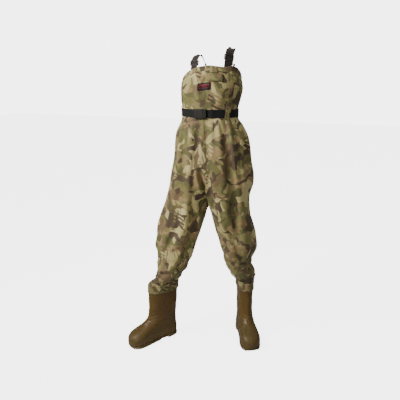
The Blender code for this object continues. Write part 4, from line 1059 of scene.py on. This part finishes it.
# T-shaped closure: the tab above, and the flap that lifts
tb = (bearing_at(0.026, 1.42), bearing_at(0.060, 1.42))
tab = bib_ply("pocket_tab_fabric", tb[0], tb[1], 1.4140, lambda d: bib_top(d) - 0.0012, 0.0031, 0.0017, CAMO_TAB, 10, 10, mu=0.10, mw=0.12)
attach(tab, "torso")
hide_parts("pocket_tab")
fb = (bearing_at(0.008, 1.40), bearing_at(0.083, 1.40))
STITCH["pocket_flap"] = []
flap, _ = ply("pocket_flap_fabric", fb[0], fb[1], 1.3785, 1.4112, lambda z: 0.0026 + 0.0010 * sstep((1.4112 - z) / 0.033), 0.0023, CAMO_TAB, 18, 10)
for mu, mw in ((0.045, 0.10), (0.085, 0.20)):
    def fn_(us, ws):
        d_ = fb[0] + (fb[1] - fb[0]) * us
        z_ = 1.3785 + 0.0327 * ws
        return bib_xyz(d_, z_), 0.0026 + 0.0010 * sstep((1.4112 - z_) / 0.033) + 0.00225
    stitch_ring(fn_, mu, mw, "pocket_flap")
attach(flap, "pocket_flap")
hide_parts("pocket_flap")

# Side bands from the binding down to the belt loops
for name, b0, b1, cad in (("side_band_right_fabric", -72.0, -60.0, "side_band_right"), ("side_band_left_fabric", 44.0, 56.0, "side_band_left")):
    ob = bib_ply(name, b0, b1, 1.3000, lambda d: bib_top(d) - 0.0195, 0.0007, 0.0015, CAMO_BAND, 8, 22, mu=0.12, mw=0.03)
    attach(ob, "torso")
    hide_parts(cad)


def loop_off(z):
    """Belt loops lie on the bib at their ends and stand over the belt between them."""
    d = np.abs(z - BELT_Z)
    return 0.0010 + sstep((0.0345 - d) / 0.0125) * (BELT_OFF + WEB_T + 0.0012 - 0.0010)


for name, b0, b1, skew in (
    ("belt_loop_front_left", 41.0, 54.0, 5.0), ("belt_loop_front_right", -72.0, -59.0, 0.0),
    ("belt_loop_back_left", 128.0, 140.0, 0.0), ("belt_loop_back_right", -140.0, -128.0, 0.0),
):
    hi = BELT_Z + (0.072 if "front" in name else 0.047)
    ob, _ = ply(name + "_fabric", b0, b1, BELT_Z - 0.047, hi, loop_off, 0.0017, CAMO_BAND, 9, 34, skew=skew)
    for w0, w1 in ((0.02, 0.10), (0.90, 0.98)):
        for ws in (np.full(14, w0 + 0.02), np.full(14, w1 - 0.0)):
            us = np.linspace(0.08, 0.92, 14)
            d_ = b0 + (b1 - b0) * us + skew * ws
            z_ = BELT_Z - 0.047 + ws * (hi - BELT_Z + 0.047)
            STITCH["torso"].append(drape(bib_xyz(d_, z_), loop_off(z_) + 0.00168, full=True))
    for uu in (0.09, 0.91):
        ws = np.linspace(0.03, 0.97, 40)
        d_ = b0 + (b1 - b0) * uu + skew * ws
        z_ = BELT_Z - 0.047 + ws * (hi - BELT_Z + 0.047)
        STITCH["torso"].append(drape(bib_xyz(d_, z_), loop_off(z_) + 0.00166, full=True))
    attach(ob, "torso")
    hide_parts(name)

# Name patch: moulded rubber with a raised border, a plain bar and a thin line
pb = (bearing_at(-0.033, 1.355), bearing_at(0.031, 1.355))
PATCH = Mat("patch_rubber", 0.55)
R_ = PATCH.obj()
PATCH.out(Base_Color=PATCH.mix(PATCH.range(PATCH.noise(R_, 80.0, 3.0), 0.35, 0.65), srgb(31, 20, 18), srgb(21, 15, 14)),
          Normal=PATCH.bump(PATCH.noise(R_, 600.0, 3.0), 0.12, 0.0004), Specular_IOR_Level=0.22)
RED = Mat("patch_red", 0.5)
R_ = RED.obj()
RED.out(Base_Color=RED.mix(RED.range(RED.noise(R_, 120.0, 3.0), 0.35, 0.65), srgb(108, 26, 29), srgb(82, 21, 24)),
        Normal=RED.bump(RED.noise(R_, 600.0, 3.0), 0.12, 0.0004), Specular_IOR_Level=0.22)


def patch_q(U, W):
    deg_ = pb[0] + (pb[1] - pb[0]) * U
    return bib_xyz(deg_, 1.3330 + 0.034 * W + 0.0080 * U)


def patch_slab(name, u0, u1, w0, w1, lo, hi, mat, nu=16, nv=6, bevel=0.0003):
    U, W = np.meshgrid(np.linspace(u0, u1, nu), np.linspace(w0, w1, nv))
    Q = patch_q(U, W)
    return slab(name, drape(Q, hi), drape(Q, lo), mat, rest=Q, bevel=bevel)


parts = [patch_slab("patch_base", 0, 1, 0, 1, 0.0004, 0.0016, PATCH.m)]
for u0, u1, w0, w1 in ((0, 1, 0, 0.07), (0, 1, 0.93, 1), (0, 0.035, 0.05, 0.95), (0.965, 1, 0.05, 0.95)):
    parts.append(patch_slab("patch_rim", u0, u1, w0, w1, 0.0014, 0.0023, PATCH.m, nu=16 if u1 - u0 > 0.5 else 3, nv=3 if u1 - u0 > 0.5 else 8))
parts.append(patch_slab("patch_bar", 0.10, 0.90, 0.46, 0.80, 0.0014, 0.0021, RED.m, 14, 4))
parts.append(patch_slab("patch_line", 0.10, 0.90, 0.24, 0.31, 0.0014, 0.0021, RED.m, 14, 3, 0.0002))
ob = join("patch_plain", parts)
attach(ob, "torso")
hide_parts("name_patch")
for us, ws in ((np.linspace(0.02, 0.98, 30), np.full(30, 0.035)), (np.linspace(0.02, 0.98, 30), np.full(30, 0.965))):
    STITCH["torso"].append(drape(patch_q(us, ws), 0.0023, full=True))

# Pouch of the inside pocket: two layers of cloth, fuller at the bottom, open at the top
pb2 = (bearing_at(-0.010, 1.34), bearing_at(0.078, 1.34))
U, W = np.meshgrid(np.linspace(0, 1, 16), np.linspace(0, 1, 16))
degs = pb2[0] + (pb2[1] - pb2[0]) * U
zz = 1.2865 + (1.389 - 1.2865) * W
round_off = np.sqrt(np.clip(1 - (2 * U - 1) ** 6, 0, 1)) * np.sqrt(np.clip(1 - np.clip(1 - W / 0.25, 0, 1) ** 4, 0, 1))
belly = round_off * (0.55 + 0.45 * bump(W, 0.05, 0.3, 0.6, 1.1)) + 0.04 * np.sin(9 * U + 3 * W) * round_off
Q = bib_xyz(degs, zz)
off_f = -(FABRIC + 0.0012) - 0 * Q[..., 0]
off_b = -(FABRIC + 0.0028) - 0.0070 * belly
a_ = slab("pouch_front", drape(Q, off_f.ravel()), drape(Q, (off_f - 0.0009).ravel()), LINING, rest=Q)
b_ = slab("pouch_back", drape(Q, off_b.ravel()), drape(Q, (off_b - 0.0010).ravel()), CAMO_TAB, rest=Q)
ob = join("inner_pouch", [b_, a_])
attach(ob, "torso")
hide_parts("inner_pocket")

# ------------------------------------------------------------------ webbing
def tape_mesh(name, P, Wd, width, thick, mat, offset=0.0, closed=False, wave=0.0, rest=None):
    """Flat woven tape along P, with Wd across it: rounded edges and a thicker selvedge."""
    P, Wd = np.asarray(P, float), unit(Wd)
    n = len(P)
    T = np.gradient(P, axis=0)
    T = unit(T)
    Wd = unit(Wd - T * (Wd * T).sum(1, keepdims=True))
    N = np.cross(Wd, T)
    s = np.concatenate([[0], np.cumsum(np.linalg.norm(np.diff(P, axis=0), axis=1))])
    prof = []
    hw = width / 2
    for f, h in ((-1.0, 0.0), (-0.985, 0.34), (-0.95, 0.50), (-0.88, 0.50), (-0.84, 0.44), (-0.5, 0.43), (0.0, 0.43), (0.5, 0.43),
                 (0.84, 0.44), (0.88, 0.50), (0.95, 0.50), (0.985, 0.34), (1.0, 0.0)):
        prof.append((f * hw, h * thick))
    prof += [(x, -h) for x, h in prof[-2:0:-1]]
    k = len(prof)
    V = np.zeros((n, k, 3))
    uvw = np.zeros((n, k, 3))
    for i, (x, h) in enumerate(prof):
        wob = wave * np.sin(s * 55 + 1.3 * x * 100) if wave else 0.0
        V[:, i] = P + Wd * x + N * (h + offset + wob)[..., None] if np.ndim(wob) else P + Wd * x + N * (h + offset)
        uvw[:, i, 0], uvw[:, i, 1] = s, x
    F = grid_faces(k, n, True)
    F += [tuple(range(k))[::-1], tuple((n - 1) * k + i for i in range(k))]
    ob = make(name, V.reshape(-1, 3), F, mat, uvw=uvw.reshape(-1, 3), rest=rest)
    bm = bmesh.new()
    bm.from_mesh(ob.data)
    bmesh.ops.recalc_face_normals(bm, faces=bm.faces)
    bm.to_mesh(ob.data)
    bm.free()
    ob.data.shade_smooth()
    ob.data.set_sharp_from_angle(angle=math.radians(60))
    return ob


BUCKLE_X = -0.0270
FLAT_Y = -0.10538
SOCK_X0, SOCK_X1 = BUCKLE_X - 0.0215, BUCKLE_X + 0.0215
PLUG_X1 = SOCK_X1 + 0.0180
flat_lo, flat_hi = SOCK_X0 - 0.004, PLUG_X1 + 0.022 + 0.004
start = bearing_at(flat_hi + 0.020, BELT_Z)
end = bearing_at(flat_lo - 0.016, BELT_Z) + 360.0
mid_belt = bib_xyz(start + (end - start) * np.linspace(0, 1, 150), BELT_Z, BELT_OFF + WEB_T / 2)
flat = FLAT_Y - WEB_T / 2
path = np.concatenate([
    [(x, flat, BELT_Z) for x in np.linspace(SOCK_X1 + 0.0045, flat_hi, 12)], mid_belt,
    [(x, flat, BELT_Z) for x in np.linspace(flat_lo, SOCK_X0 + 0.0050, 4)]])
seg = np.concatenate([[0], np.cumsum(np.linalg.norm(np.diff(path, axis=0), axis=1))])
even = np.arange(0, seg[-1], 0.0045)
path = np.stack([np.interp(even, seg, path[:, k]) for k in range(3)], 1)
for _ in range(3):
    path[1:-1] = path[1:-1] * 0.5 + (path[:-2] + path[2:]) * 0.25
ob = tape_mesh("waist_belt", path, np.tile((0, 0, 1.0), (len(path), 1)), BELT_W, WEB_T, WEB)
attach(ob, "torso")
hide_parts("belt_webbing")


def catmull(points, per):
    pts = [np.array(p, float) for p in points]
    out = []
    for i in range(len(pts) - 1):
        p0, p1, p2, p3 = pts[max(i - 1, 0)], pts[i], pts[i + 1], pts[min(i + 2, len(pts) - 1)]
        for k in range(per):
            t = k / per
            out.append(0.5 * ((2 * p1) + (p2 - p0) * t + (2 * p0 - 5 * p1 + 4 * p2 - p3) * t * t + (3 * p1 - p0 - 3 * p2 + p3) * t ** 3))
    out.append(pts[-1])
    return np.array(out)


STRAPS = {
    "right": ((-0.07005, -0.08708, 1.345), (-0.0585, -0.06908, 1.478),
              [(-0.0530, -0.0520, 1.4930), (-0.0470, -0.0330, 1.4950), (-0.0400, -0.0140, 1.4840), (-0.0350, 0.0060, 1.4640), (-0.0320, 0.0380, 1.4440), (-0.0300, 0.0720, 1.4360), (-0.0290, 0.1025, 1.4340)], (1, 0, 0.25)),
    "left": ((0.09363, -0.07836, 1.345), (0.1025, -0.04536, 1.502),
             [(0.1040, -0.0330, 1.5180), (0.1040, -0.0140, 1.5220), (0.1040, 0.0060, 1.5110), (0.1000, 0.0240, 1.4880), (0.0900, 0.0480, 1.4640), (0.0730, 0.0780, 1.4500), (0.0520, 0.1025, 1.4450)], (1, 0, 0.55)),
}
for side, (root, top, rest_pts, last) in STRAPS.items():
    root, top = np.array(root), np.array(top)
    x0 = -0.070 if side == "right" else 0.103
    ta = bib_xyz(bearing_at(x0 + 0.002, 1.38), 1.38) - bib_xyz(bearing_at(x0 - 0.002, 1.38), 1.38)
    straight = root + (top - root) * np.linspace(0, 1, 25)[:, None]
    bend = catmull([top] + rest_pts, 12)[1:]
    pts = np.concatenate([straight, bend])
    # same turn of the width as the frame's strap, measured along its coarser points
    fi = np.concatenate([np.linspace(0, 5, 25), 5 + np.arange(1, len(bend) + 1) * 28.0 / len(bend)]) / 33.0
    w, g = sstep((fi - 0.24) / 0.20)[:, None], sstep((fi - 0.68) / 0.28)[:, None]
    Wd = unit((unit(ta) * (1 - w) + np.array((0.342, -0.940, 0.0)) * w) * (1 - g) + np.array(last, float) * g)
    ob = tape_mesh("shoulder_tape_" + side, pts, Wd, BELT_W, WEB_T, ELASTIC_R)
    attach(ob, "torso")
    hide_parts("shoulder_strap_" + side)
    # sewn anchor pad behind the bib
    x = -0.073 if side == "right" else 0.098
    b0, b1 = bearing_at(x - 0.016, 1.345), bearing_at(x + 0.014, 1.345)
    U, W = np.meshgrid(np.linspace(0, 1, 9), np.linspace(0, 1, 9))
    Q = bib_xyz(b0 + (b1 - b0) * U, 1.315 + 0.026 * W)
    uvw = np.stack([W * 0.026, (U - 0.5) * 0.030, 0 * U], -1)
    ob = slab("anchor_pad_" + side, drape(Q, -FABRIC - 0.0006), drape(Q, -FABRIC - 0.0026), WEB, uvw=uvw, rest=Q, bevel=0.0004)
    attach(ob, "torso")
    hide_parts("strap_anchor_" + side)

# Back yoke: a stitched webbing patch where both straps meet, and the elastic below it
YOKE = [(-0.034, 1.424), (0.000, 1.398), (0.016, 1.398), (0.057, 1.434), (0.046, 1.452), (0.008, 1.432), (-0.026, 1.444)]
bm = bmesh.new()
face = bm.faces.new([bm.verts.new((x + SHIFT[0], 0.1043 + SHIFT[1], z)) for x, z in YOKE])
ext = bmesh.ops.extrude_face_region(bm, geom=[face])
for v in [g for g in ext["geom"] if isinstance(g, bmesh.types.BMVert)]:
    v.co.y += 0.0024
bmesh.ops.recalc_face_normals(bm, faces=bm.faces)
me = bpy.data.meshes.new("yoke_patch")
bm.to_mesh(me)
bm.free()
co = np.array([v.co for v in me.vertices], float)
me.materials.append(WEB)
for key, data in (("rest", co - SHIFT), ("uvw", np.stack([co[:, 2] - 1.42, co[:, 0] * 0.4, 0 * co[:, 0]], 1))):
    at = me.attributes.new(key, "FLOAT_VECTOR", "POINT")
    at.data.foreach_set("vector", data.astype(np.float32).ravel())
ob = bpy.data.objects.new("yoke_patch", me)
COLL.objects.link(ob)
soften(ob, bevel=0.0007, segments=3)
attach(ob, "torso")
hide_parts("back_yoke")
yc = np.array([(x, 0.1068, z) for x, z in YOKE])
cen = yc.mean(0)
for k in (0.90, 0.78):
    ring = cen + (yc - cen) * k
    for a, b in zip(ring, np.roll(ring, -1, axis=0)):
        P = a + (b - a) * np.linspace(0, 1, 8)[:, None]
        STITCH["torso"].append((P, np.tile((0, 1.0, 0), (8, 1))))
zb = np.linspace(0, 1, 36)
el = catmull([(0.008, float(bib_xyz(180, 1.330, 0.0045)[1]), 1.330), (0.008, float(bib_xyz(180, 1.36, 0.0045)[1]), 1.360),
              (0.008, 0.1075, 1.390), (0.008, 0.1084, 1.412), (0.008, 0.1084, 1.426)], 10)
ob = tape_mesh("rear_elastic", el, np.tile((1.0, 0, 0), (len(el), 1)), 0.036, 0.0019, ELASTIC)
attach(ob, "torso")
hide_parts("back_elastic")


def cross_box(centre, u, v, n, w, h, key="torso"):
    """A box with a cross of stitches, as sewn at the end of a strap."""
    c, u, v, n = np.array(centre), unit(np.array(u, float)), unit(np.array(v, float)), unit(np.array(n, float))
    k = [c + u * a * w / 2 + v * b * h / 2 for a, b in ((-1, -1), (1, -1), (1, 1), (-1, 1))]
    for a, b in ((0, 1), (1, 2), (2, 3), (3, 0), (0, 2), (1, 3)):
        P = k[a] + (k[b] - k[a]) * np.linspace(0, 1, 12)[:, None]
        STITCH[key].append((P, np.tile(n, (12, 1))))


cross_box((0.008, float(bib_xyz(180, 1.345, 0.0045)[1]) + 0.00085, 1.3455), (1, 0, 0), (0, 0.05, 1), (0, 1, 0), 0.028, 0.024)

# ------------------------------------------------------------------ buckle and sliders keep their frame shape
NODES = frame["nodes"]
for n in ("belt_buckle_socket", "belt_buckle_plug", "belt_buckle_prong_upper", "belt_buckle_prong_lower", "strap_adjuster_right", "strap_adjuster_left"):
    o = NODES[n]
    mat = SLIDER if "adjuster" in n else BUCKLE if "socket" in n else PLUG
    if not o.data.materials:
        o.data.materials.append(mat)
    for i in range(len(o.data.materials)):
        o.data.materials[i] = mat
    for i in range(len(o.material_slots)):
        o.material_slots[i].material = mat
    b = o.modifiers.new("edge", "BEVEL")
    b.width, b.segments, b.limit_method, b.angle_limit = 0.0005, 2, "ANGLE", math.radians(40)

# ------------------------------------------------------------------ boots
BOOTS = {"right": ((-0.1805, -0.0625), -38.6), "left": ((0.1380, 0.1440), 30.4)}
BOOT_ROWS = np.array([
    (0.0200, 0.004, 0.286, 0.0500, 1.0), (0.0320, 0.001, 0.2900, 0.0530, 1.0), (0.0480, 0.000, 0.2890, 0.0530, 1.0),
    (0.0620, 0.001, 0.2820, 0.0510, 1.0), (0.0740, 0.002, 0.2680, 0.0480, 0.95), (0.0840, 0.003, 0.2470, 0.0460, 0.85),
    (0.0960, 0.004, 0.2200, 0.0425, 0.6), (0.1120, 0.004, 0.1940, 0.0405, 0.3), (0.1320, 0.003, 0.1740, 0.0390, 0.1),
    (0.1600, 0.000, 0.1655, 0.0385, 0.0), (0.2200, -0.005, 0.1620, 0.0388, 0.0), (0.3200, -0.012, 0.1640, 0.0402, 0.0)])
FOOT_HALF = np.array([
    (0.0, 0.0), (0.02, 0.30), (0.06, 0.50), (0.12, 0.64), (0.25, 0.72), (0.42, 0.74), (0.58, 0.86), (0.70, 0.97),
    (0.78, 1.0), (0.86, 0.95), (0.92, 0.82), (0.965, 0.60), (0.99, 0.34), (1.0, 0.0)])
SOLE_T, BOOT_TOP, BOOT_WALL = 0.0200, 0.300, 0.0032
NR = 72


def boot_frame(side):
    (hx, hy), deg_ = BOOTS[side]
    t = math.radians(deg_)
    return np.array((hx, hy, 0.0)), np.array((math.sin(t), -math.cos(t), 0.0)), np.array((math.cos(t), math.sin(t), 0.0))


def half_width(u):
    """Foot outline's half width along its length, rounded at heel and toe."""
    u = np.asarray(u, float)
    return curve(FOOT_HALF, u, 1)


def boot_ring(side, z, off=0.0, zsrc=None, detail=True, count=NR):
    o, fwd, lat = boot_frame(side)
    zs = z if zsrc is None else zsrc
    back_, front_, half_, foot = (float(curve(BOOT_ROWS, zs, c)) for c in (1, 2, 3, 4))
    back_, front_ = back_ - off, front_ + off
    inside = 1.0 if side == "right" else -1.0
    p = 2 * np.pi * np.arange(count) / count
    u = (1 + np.cos(p)) / 2
    g_shaft = np.abs(np.sin(p))
    g = g_shaft + foot * (half_width(u) - g_shaft)
    w = (half_ + off) * g * np.sign(np.sin(p))
    w[np.abs(np.sin(p)) < 1e-9] = 0.0
    bend = inside * foot * 0.010 * np.clip((u - 0.35) / 0.65, 0, None) ** 1.5
    P = o + fwd * (back_ + u * (front_ - back_))[:, None] + lat * (w + bend)[:, None]
    P[:, 2] = z
    if detail:
        c = P.mean(0)
        out = unit((P - c) * (1, 1, 0))
        d = np.zeros(count)
        frontness = np.clip(np.cos(p), 0, 1)
        # rim of the foxing above the sole, toe cap, heel counter, ankle creases and mould line
        d += 0.0013 * bump(z, 0.0195, 0.0205, 0.0275, 0.0300)
        toe_line = 0.075 + 0.020 * (1 - u)
        d += 0.0011 * foot * sstep((u - 0.775) / 0.012) * (1 - sstep((z - 0.070) / 0.006))
        d += 0.0011 * (1 - sstep((u - 0.20 - 0.20 * (0.12 - z)) / 0.012)) * (1 - sstep((z - 0.108) / 0.006)) * sstep((z - 0.028) / 0.004)
        crk = np.sin(2 * np.pi * (z + 0.010 * np.cos(p * 2)) / 0.0200) * bump(z, 0.085, 0.105, 0.150, 0.178)
        d += 0.0013 * crk * (0.35 + 0.65 * frontness ** 2)
        d += 0.0008 * np.sin(2 * np.pi * z / 0.07 + 3 * np.sin(p)) * bump(z, 0.15, 0.18, 0.26, 0.29)
        d += 0.0006 * np.exp(-((np.minimum(p, 2 * np.pi - p)) / 0.05) ** 2)
        P += out * d[:, None]
    return P


def loft(name, rings, mat, rest=None, close=True):
    n = len(rings[0])
    V = np.concatenate(rings)
    F = grid_faces(n, len(rings), True)
    if close:
        F += [tuple(range(n))[::-1], tuple((len(rings) - 1) * n + i for i in range(n))]
    ob = make(name, V, F, mat, rest=rest)
    bm = bmesh.new()
    bm.from_mesh(ob.data)
    bmesh.ops.recalc_face_normals(bm, faces=bm.faces)
    bm.to_mesh(ob.data)
    bm.free()
    return soften(ob, sharp=55)


def sole_half(u, off):
    return np.maximum(0.0005, (0.0525 + off) * curve(FOOT_HALF, np.clip(u, 0.0006, 0.9994), 1))


for side in ("right", "left"):
    o, fwd, lat = boot_frame(side)
    inside = 1.0 if side == "right" else -1.0
    zo = np.concatenate([np.linspace(0.0200, 0.034, 8), np.linspace(0.037, 0.180, 42), np.linspace(0.187, 0.296, 15)])
    rings = [boot_ring(side, z) for z in zo]
    for z, of_ in ((0.2985, -0.0002), (0.2998, -0.0009), (0.3000, -0.0016), (0.2998, -0.0024), (0.2985, -0.0031)):
        rings.append(boot_ring(side, z, of_, detail=False))
    for z in (0.28, 0.24, 0.20, 0.156, 0.128, 0.108, 0.092, 0.080, 0.070, 0.058, 0.048, 0.034, 0.0250):
        rings.append(boot_ring(side, z, -BOOT_WALL, min(z + 0.004, 0.318) if z > 0.04 else z, detail=False))
    ob = loft("rubber_boot_" + side, rings, RUBBER)
    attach(ob, "shin_" + side)
    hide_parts("boot_" + side)

    # outsole: heel block, raised waist and forepart, over cross lugs
    st = np.concatenate([[0.0045, 0.0060, 0.0085, 0.012, 0.017, 0.024, 0.034, 0.045, 0.056, 0.0640, 0.0662, 0.0678, 0.070, 0.078, 0.090, 0.102, 0.110],
                         np.linspace(0.114, 0.262, 17), [0.268, 0.274, 0.279, 0.283, 0.2862, 0.2885]])
    sec = []
    for s in st:
        u = (s + 0.002) / 0.293
        w_ = float(sole_half(u, 0.0025))
        low = 0.0 if s < 0.0670 else 0.0100 if s < 0.112 else 0.0100 * (0.122 - s) / 0.010 if s < 0.122 else 0.0 if s < 0.250 else 0.0060 * (s - 0.250) / 0.039
        low = max(0.0, low) + (0.0028 if (s < 0.066 or s >= 0.1215) else 0.0)
        high = SOLE_T - 0.0004
        bend = inside * 0.010 * max(0.0, (u - 0.35) / 0.65) ** 1.5
        c = o + fwd * (s - 0.001) + lat * bend
        r = min(0.0016, (high - low) * 0.3)
        prof = []
        for x, z in ((-1, low + r), (-1, high - r)):
            prof.append((x * w_, z))
        prof += [(-w_ + r * 0.3, high - r * 0.3), (-w_ + r, high), (0.0, high), (w_ - r, high), (w_ - r * 0.3, high - r * 0.3), (w_, high - r), (w_, (low + high) / 2), (w_, low + r),
                 (w_ - r * 0.3, low + r * 0.3), (w_ - r, low), (0.0, low), (-w_ + r, low), (-w_ + r * 0.3, low + r * 0.3)]
        sec.append(np.array([c + lat * x + np.array((0, 0, z)) for x, z in prof]))
    base = loft("sole_base", sec, SOLE)
    lugs = [base]
    V, F = [], []
    for s0 in list(np.arange(0.0110, 0.060, 0.0105)) + list(np.arange(0.1285, 0.275, 0.0118)):
        for sgn in (-1, 1):
            low = 0.0 if s0 < 0.25 else 0.0060 * (s0 - 0.250) / 0.039
            pts_ = []
            for s, x in ((s0, 0.0), (s0 + 0.0062, 0.0)):
                for xx in (0.0035, 0.62, 1.0):
                    u = (s + 0.002) / 0.293
                    w_ = float(sole_half(min(u, 0.985), 0.0025)) - 0.0035
                    bend = inside * 0.010 * max(0.0, (u - 0.35) / 0.65) ** 1.5
                    x_ = xx if xx < 0.01 else w_ * xx
                    pts_.append((s + 0.0045 * (x_ / 0.05), sgn * x_ + bend))
            b = len(V)
            for z in (low + 0.0, low + 0.0042):
                inset = 0.0006 if z == low else 0.0
                for j, (s, x) in enumerate(pts_):
                    V.append(o + fwd * (s - 0.001 + (inset if j < 3 else -inset)) + lat * x + np.array((0, 0, z)))
            q = lambda *k: F.append(tuple(b + i for i in k))
            q(0, 1, 4, 3); q(1, 2, 5, 4)
            q(6, 9, 10, 7); q(7, 10, 11, 8)
            q(0, 6, 7, 1); q(1, 7, 8, 2); q(3, 4, 10, 9); q(4, 5, 11, 10); q(0, 3, 9, 6); q(2, 8, 11, 5)
    ob = make("sole_lugs", V, F, SOLE)
    bm = bmesh.new()
    bm.from_mesh(ob.data)
    bmesh.ops.recalc_face_normals(bm, faces=bm.faces)
    bm.to_mesh(ob.data)
    bm.free()
    soften(ob, bevel=0.0004, segments=1)
    ob = join("tread_sole_" + side, [base, ob])
    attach(ob, "shin_" + side)
    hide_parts("outsole_" + side)

    n = NODES["insole_" + side]
    for i in range(max(1, len(n.data.materials))):
        if i < len(n.data.materials):
            n.data.materials[i] = FOAM
        else:
            n.data.materials.append(FOAM)
    b = n.modifiers.new("edge", "BEVEL")
    b.width, b.segments, b.limit_method, b.angle_limit = 0.001, 2, "ANGLE", math.radians(40)

    # cuff: a band of the same cloth welded over the leg's edge and the boot's top, with a hem at both edges
    nc = 96
    phi = 360.0 * np.arange(nc) / nc
    wav = 0.0012 * np.sin(np.radians(phi * 5 + 30))

    def cuff_pt(z, off):
        p = leg_xyz(side, phi, np.full(nc, max(z, 0.3015)), off)
        p[:, 2] = z
        return p

    rows = []
    for z, of_ in ((0.2840, 0.0024), (0.2836, 0.0034), (0.2842, 0.0044), (0.2870, 0.0049), (0.2915, 0.0049), (0.2930, 0.0044), (0.3000, 0.0043),
                   (0.3080, 0.0045), (0.3160, 0.0044), (0.3225, 0.0046), (0.3240, 0.0050), (0.3290, 0.0050), (0.3318, 0.0044), (0.3322, 0.0034),
                   (0.3316, 0.0026), (0.3160, 0.0024), (0.3030, 0.0023), (0.2940, 0.0022)):
        r_ = cuff_pt(z, of_ - 0.0002)
        r_[:, 2] += wav
        rows.append(r_)
    V = np.concatenate(rows)
    F = grid_faces(nc, len(rows), True)
    m = len(rows) - 1
    F += [(m * nc + i, m * nc + (i + 1) % nc, (i + 1) % nc, i) for i in range(nc)]
    ob = make("cuff_fabric_" + side, V, F, CAMO_HEM, rest=V)
    bm = bmesh.new()
    bm.from_mesh(ob.data)
    bmesh.ops.recalc_face_normals(bm, faces=bm.faces)
    bm.to_mesh(ob.data)
    bm.free()
    soften(ob, sharp=60)
    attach(ob, "shin_" + side)
    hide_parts("boot_cuff_" + side)
    for z in (0.2885, 0.2918, 0.3262):
        P = cuff_pt(z, 0.0048)
        P[:, 2] += wav
        P = np.concatenate([P, P[:1]])
        N = unit((P - P[:-1].mean(0)) * (1, 1, 0))
        STITCH["shin_" + side].append((P, N))

for key, paths in STITCH.items():
    if not paths:
        continue
    V, F = stitch_mesh(paths)
    ob = make("stitches_" + key, V, F, THREAD)
    if key.startswith("hip_"):
        side = key[4:]
        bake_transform(ob)
    elif key.startswith("knee_"):
        side = key[5:]
        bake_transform(ob)
    else:
        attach(ob, key)

# ------------------------------------------------------------------ floor, light and camera
AMBIENT, FLOOR_LIFT = 0.27, 4.3
floor = bpy.data.meshes.new("floor")
floor.from_pydata([(-12, -12, 0), (12, -12, 0), (12, 12, 0), (-12, 12, 0)], [], [(0, 1, 2, 3)])
fl = Mat("floor_pale", 0.9)
fl.out(Emission_Color=(1, 1, 1, 1), Emission_Strength=fl.math("MULTIPLY", fl.node("ShaderNodeLightPath").outputs["Is Camera Ray"], FLOOR_LIFT), Base_Color=fl.mix(fl.range(fl.noise(fl.obj(), 3.0, 3.0), 0.3, 0.7), (0.46, 0.46, 0.46, 1), (0.49, 0.49, 0.49, 1)))
floor.materials.append(fl.m)
ob = bpy.data.objects.new("floor", floor)
COLL.objects.link(ob)

world = bpy.data.worlds.new("studio")
bpy.context.scene.world = world
world.use_nodes = True
wt = world.node_tree
bg = wt.nodes["Background"]
bg.inputs[0].default_value = (1.0, 1.0, 1.0, 1.0)
bg.inputs[1].default_value = AMBIENT
back = wt.nodes.new("ShaderNodeBackground")              # the plain backdrop seen by the camera
back.inputs[0].default_value = (1.0, 1.0, 1.0, 1.0)
back.inputs[1].default_value = 5.0
seen = wt.nodes.new("ShaderNodeLightPath")
pick = wt.nodes.new("ShaderNodeMixShader")
wt.links.new(seen.outputs["Is Camera Ray"], pick.inputs[0])
wt.links.new(bg.outputs[0], pick.inputs[1])
wt.links.new(back.outputs[0], pick.inputs[2])
wt.links.new(pick.outputs[0], wt.nodes["World Output"].inputs[0])
AIM = Vector((SHIFT[0], SHIFT[1], 1.12))
AIM_BOOT = Vector((-0.30, -0.08, 0.14))
for name, loc, size, power, aim, spread in (
    ("key", (-2.0, -2.1, 3.1), 1.3, 52.0, AIM, 84), ("fill", (2.6, -2.8, 2.4), 2.4, 14.0, AIM, 180),
    ("top", (0.2, 0.5, 3.6), 2.0, 36.0, AIM, 180), ("low", (0.55, -2.3, 0.55), 0.7, 0.8, AIM_BOOT, 34),
):
    data = bpy.data.lights.new(name, "AREA")
    data.size, data.energy, data.spread = size, power, math.radians(spread)
    lt = bpy.data.objects.new(name, data)
    lt.location = Vector(loc)
    lt.rotation_euler = (aim - lt.location).to_track_quat("-Z", "Y").to_euler()
    COLL.objects.link(lt)

cam_data = bpy.data.cameras.new("camera")
cam_data.lens, cam_data.sensor_width = 39.4, 36.0
cam = bpy.data.objects.new("camera", cam_data)
az, pitch = math.radians(20.0), math.radians(15.8)
cam.location = Vector((0.7007, -2.0861, 1.40)) + Vector(SHIFT)
fwd = Vector((-math.sin(az) * math.cos(pitch), math.cos(az) * math.cos(pitch), -math.sin(pitch)))
cam.rotation_euler = fwd.to_track_quat("-Z", "Y").to_euler()
COLL.objects.link(cam)
bpy.context.scene.camera = cam
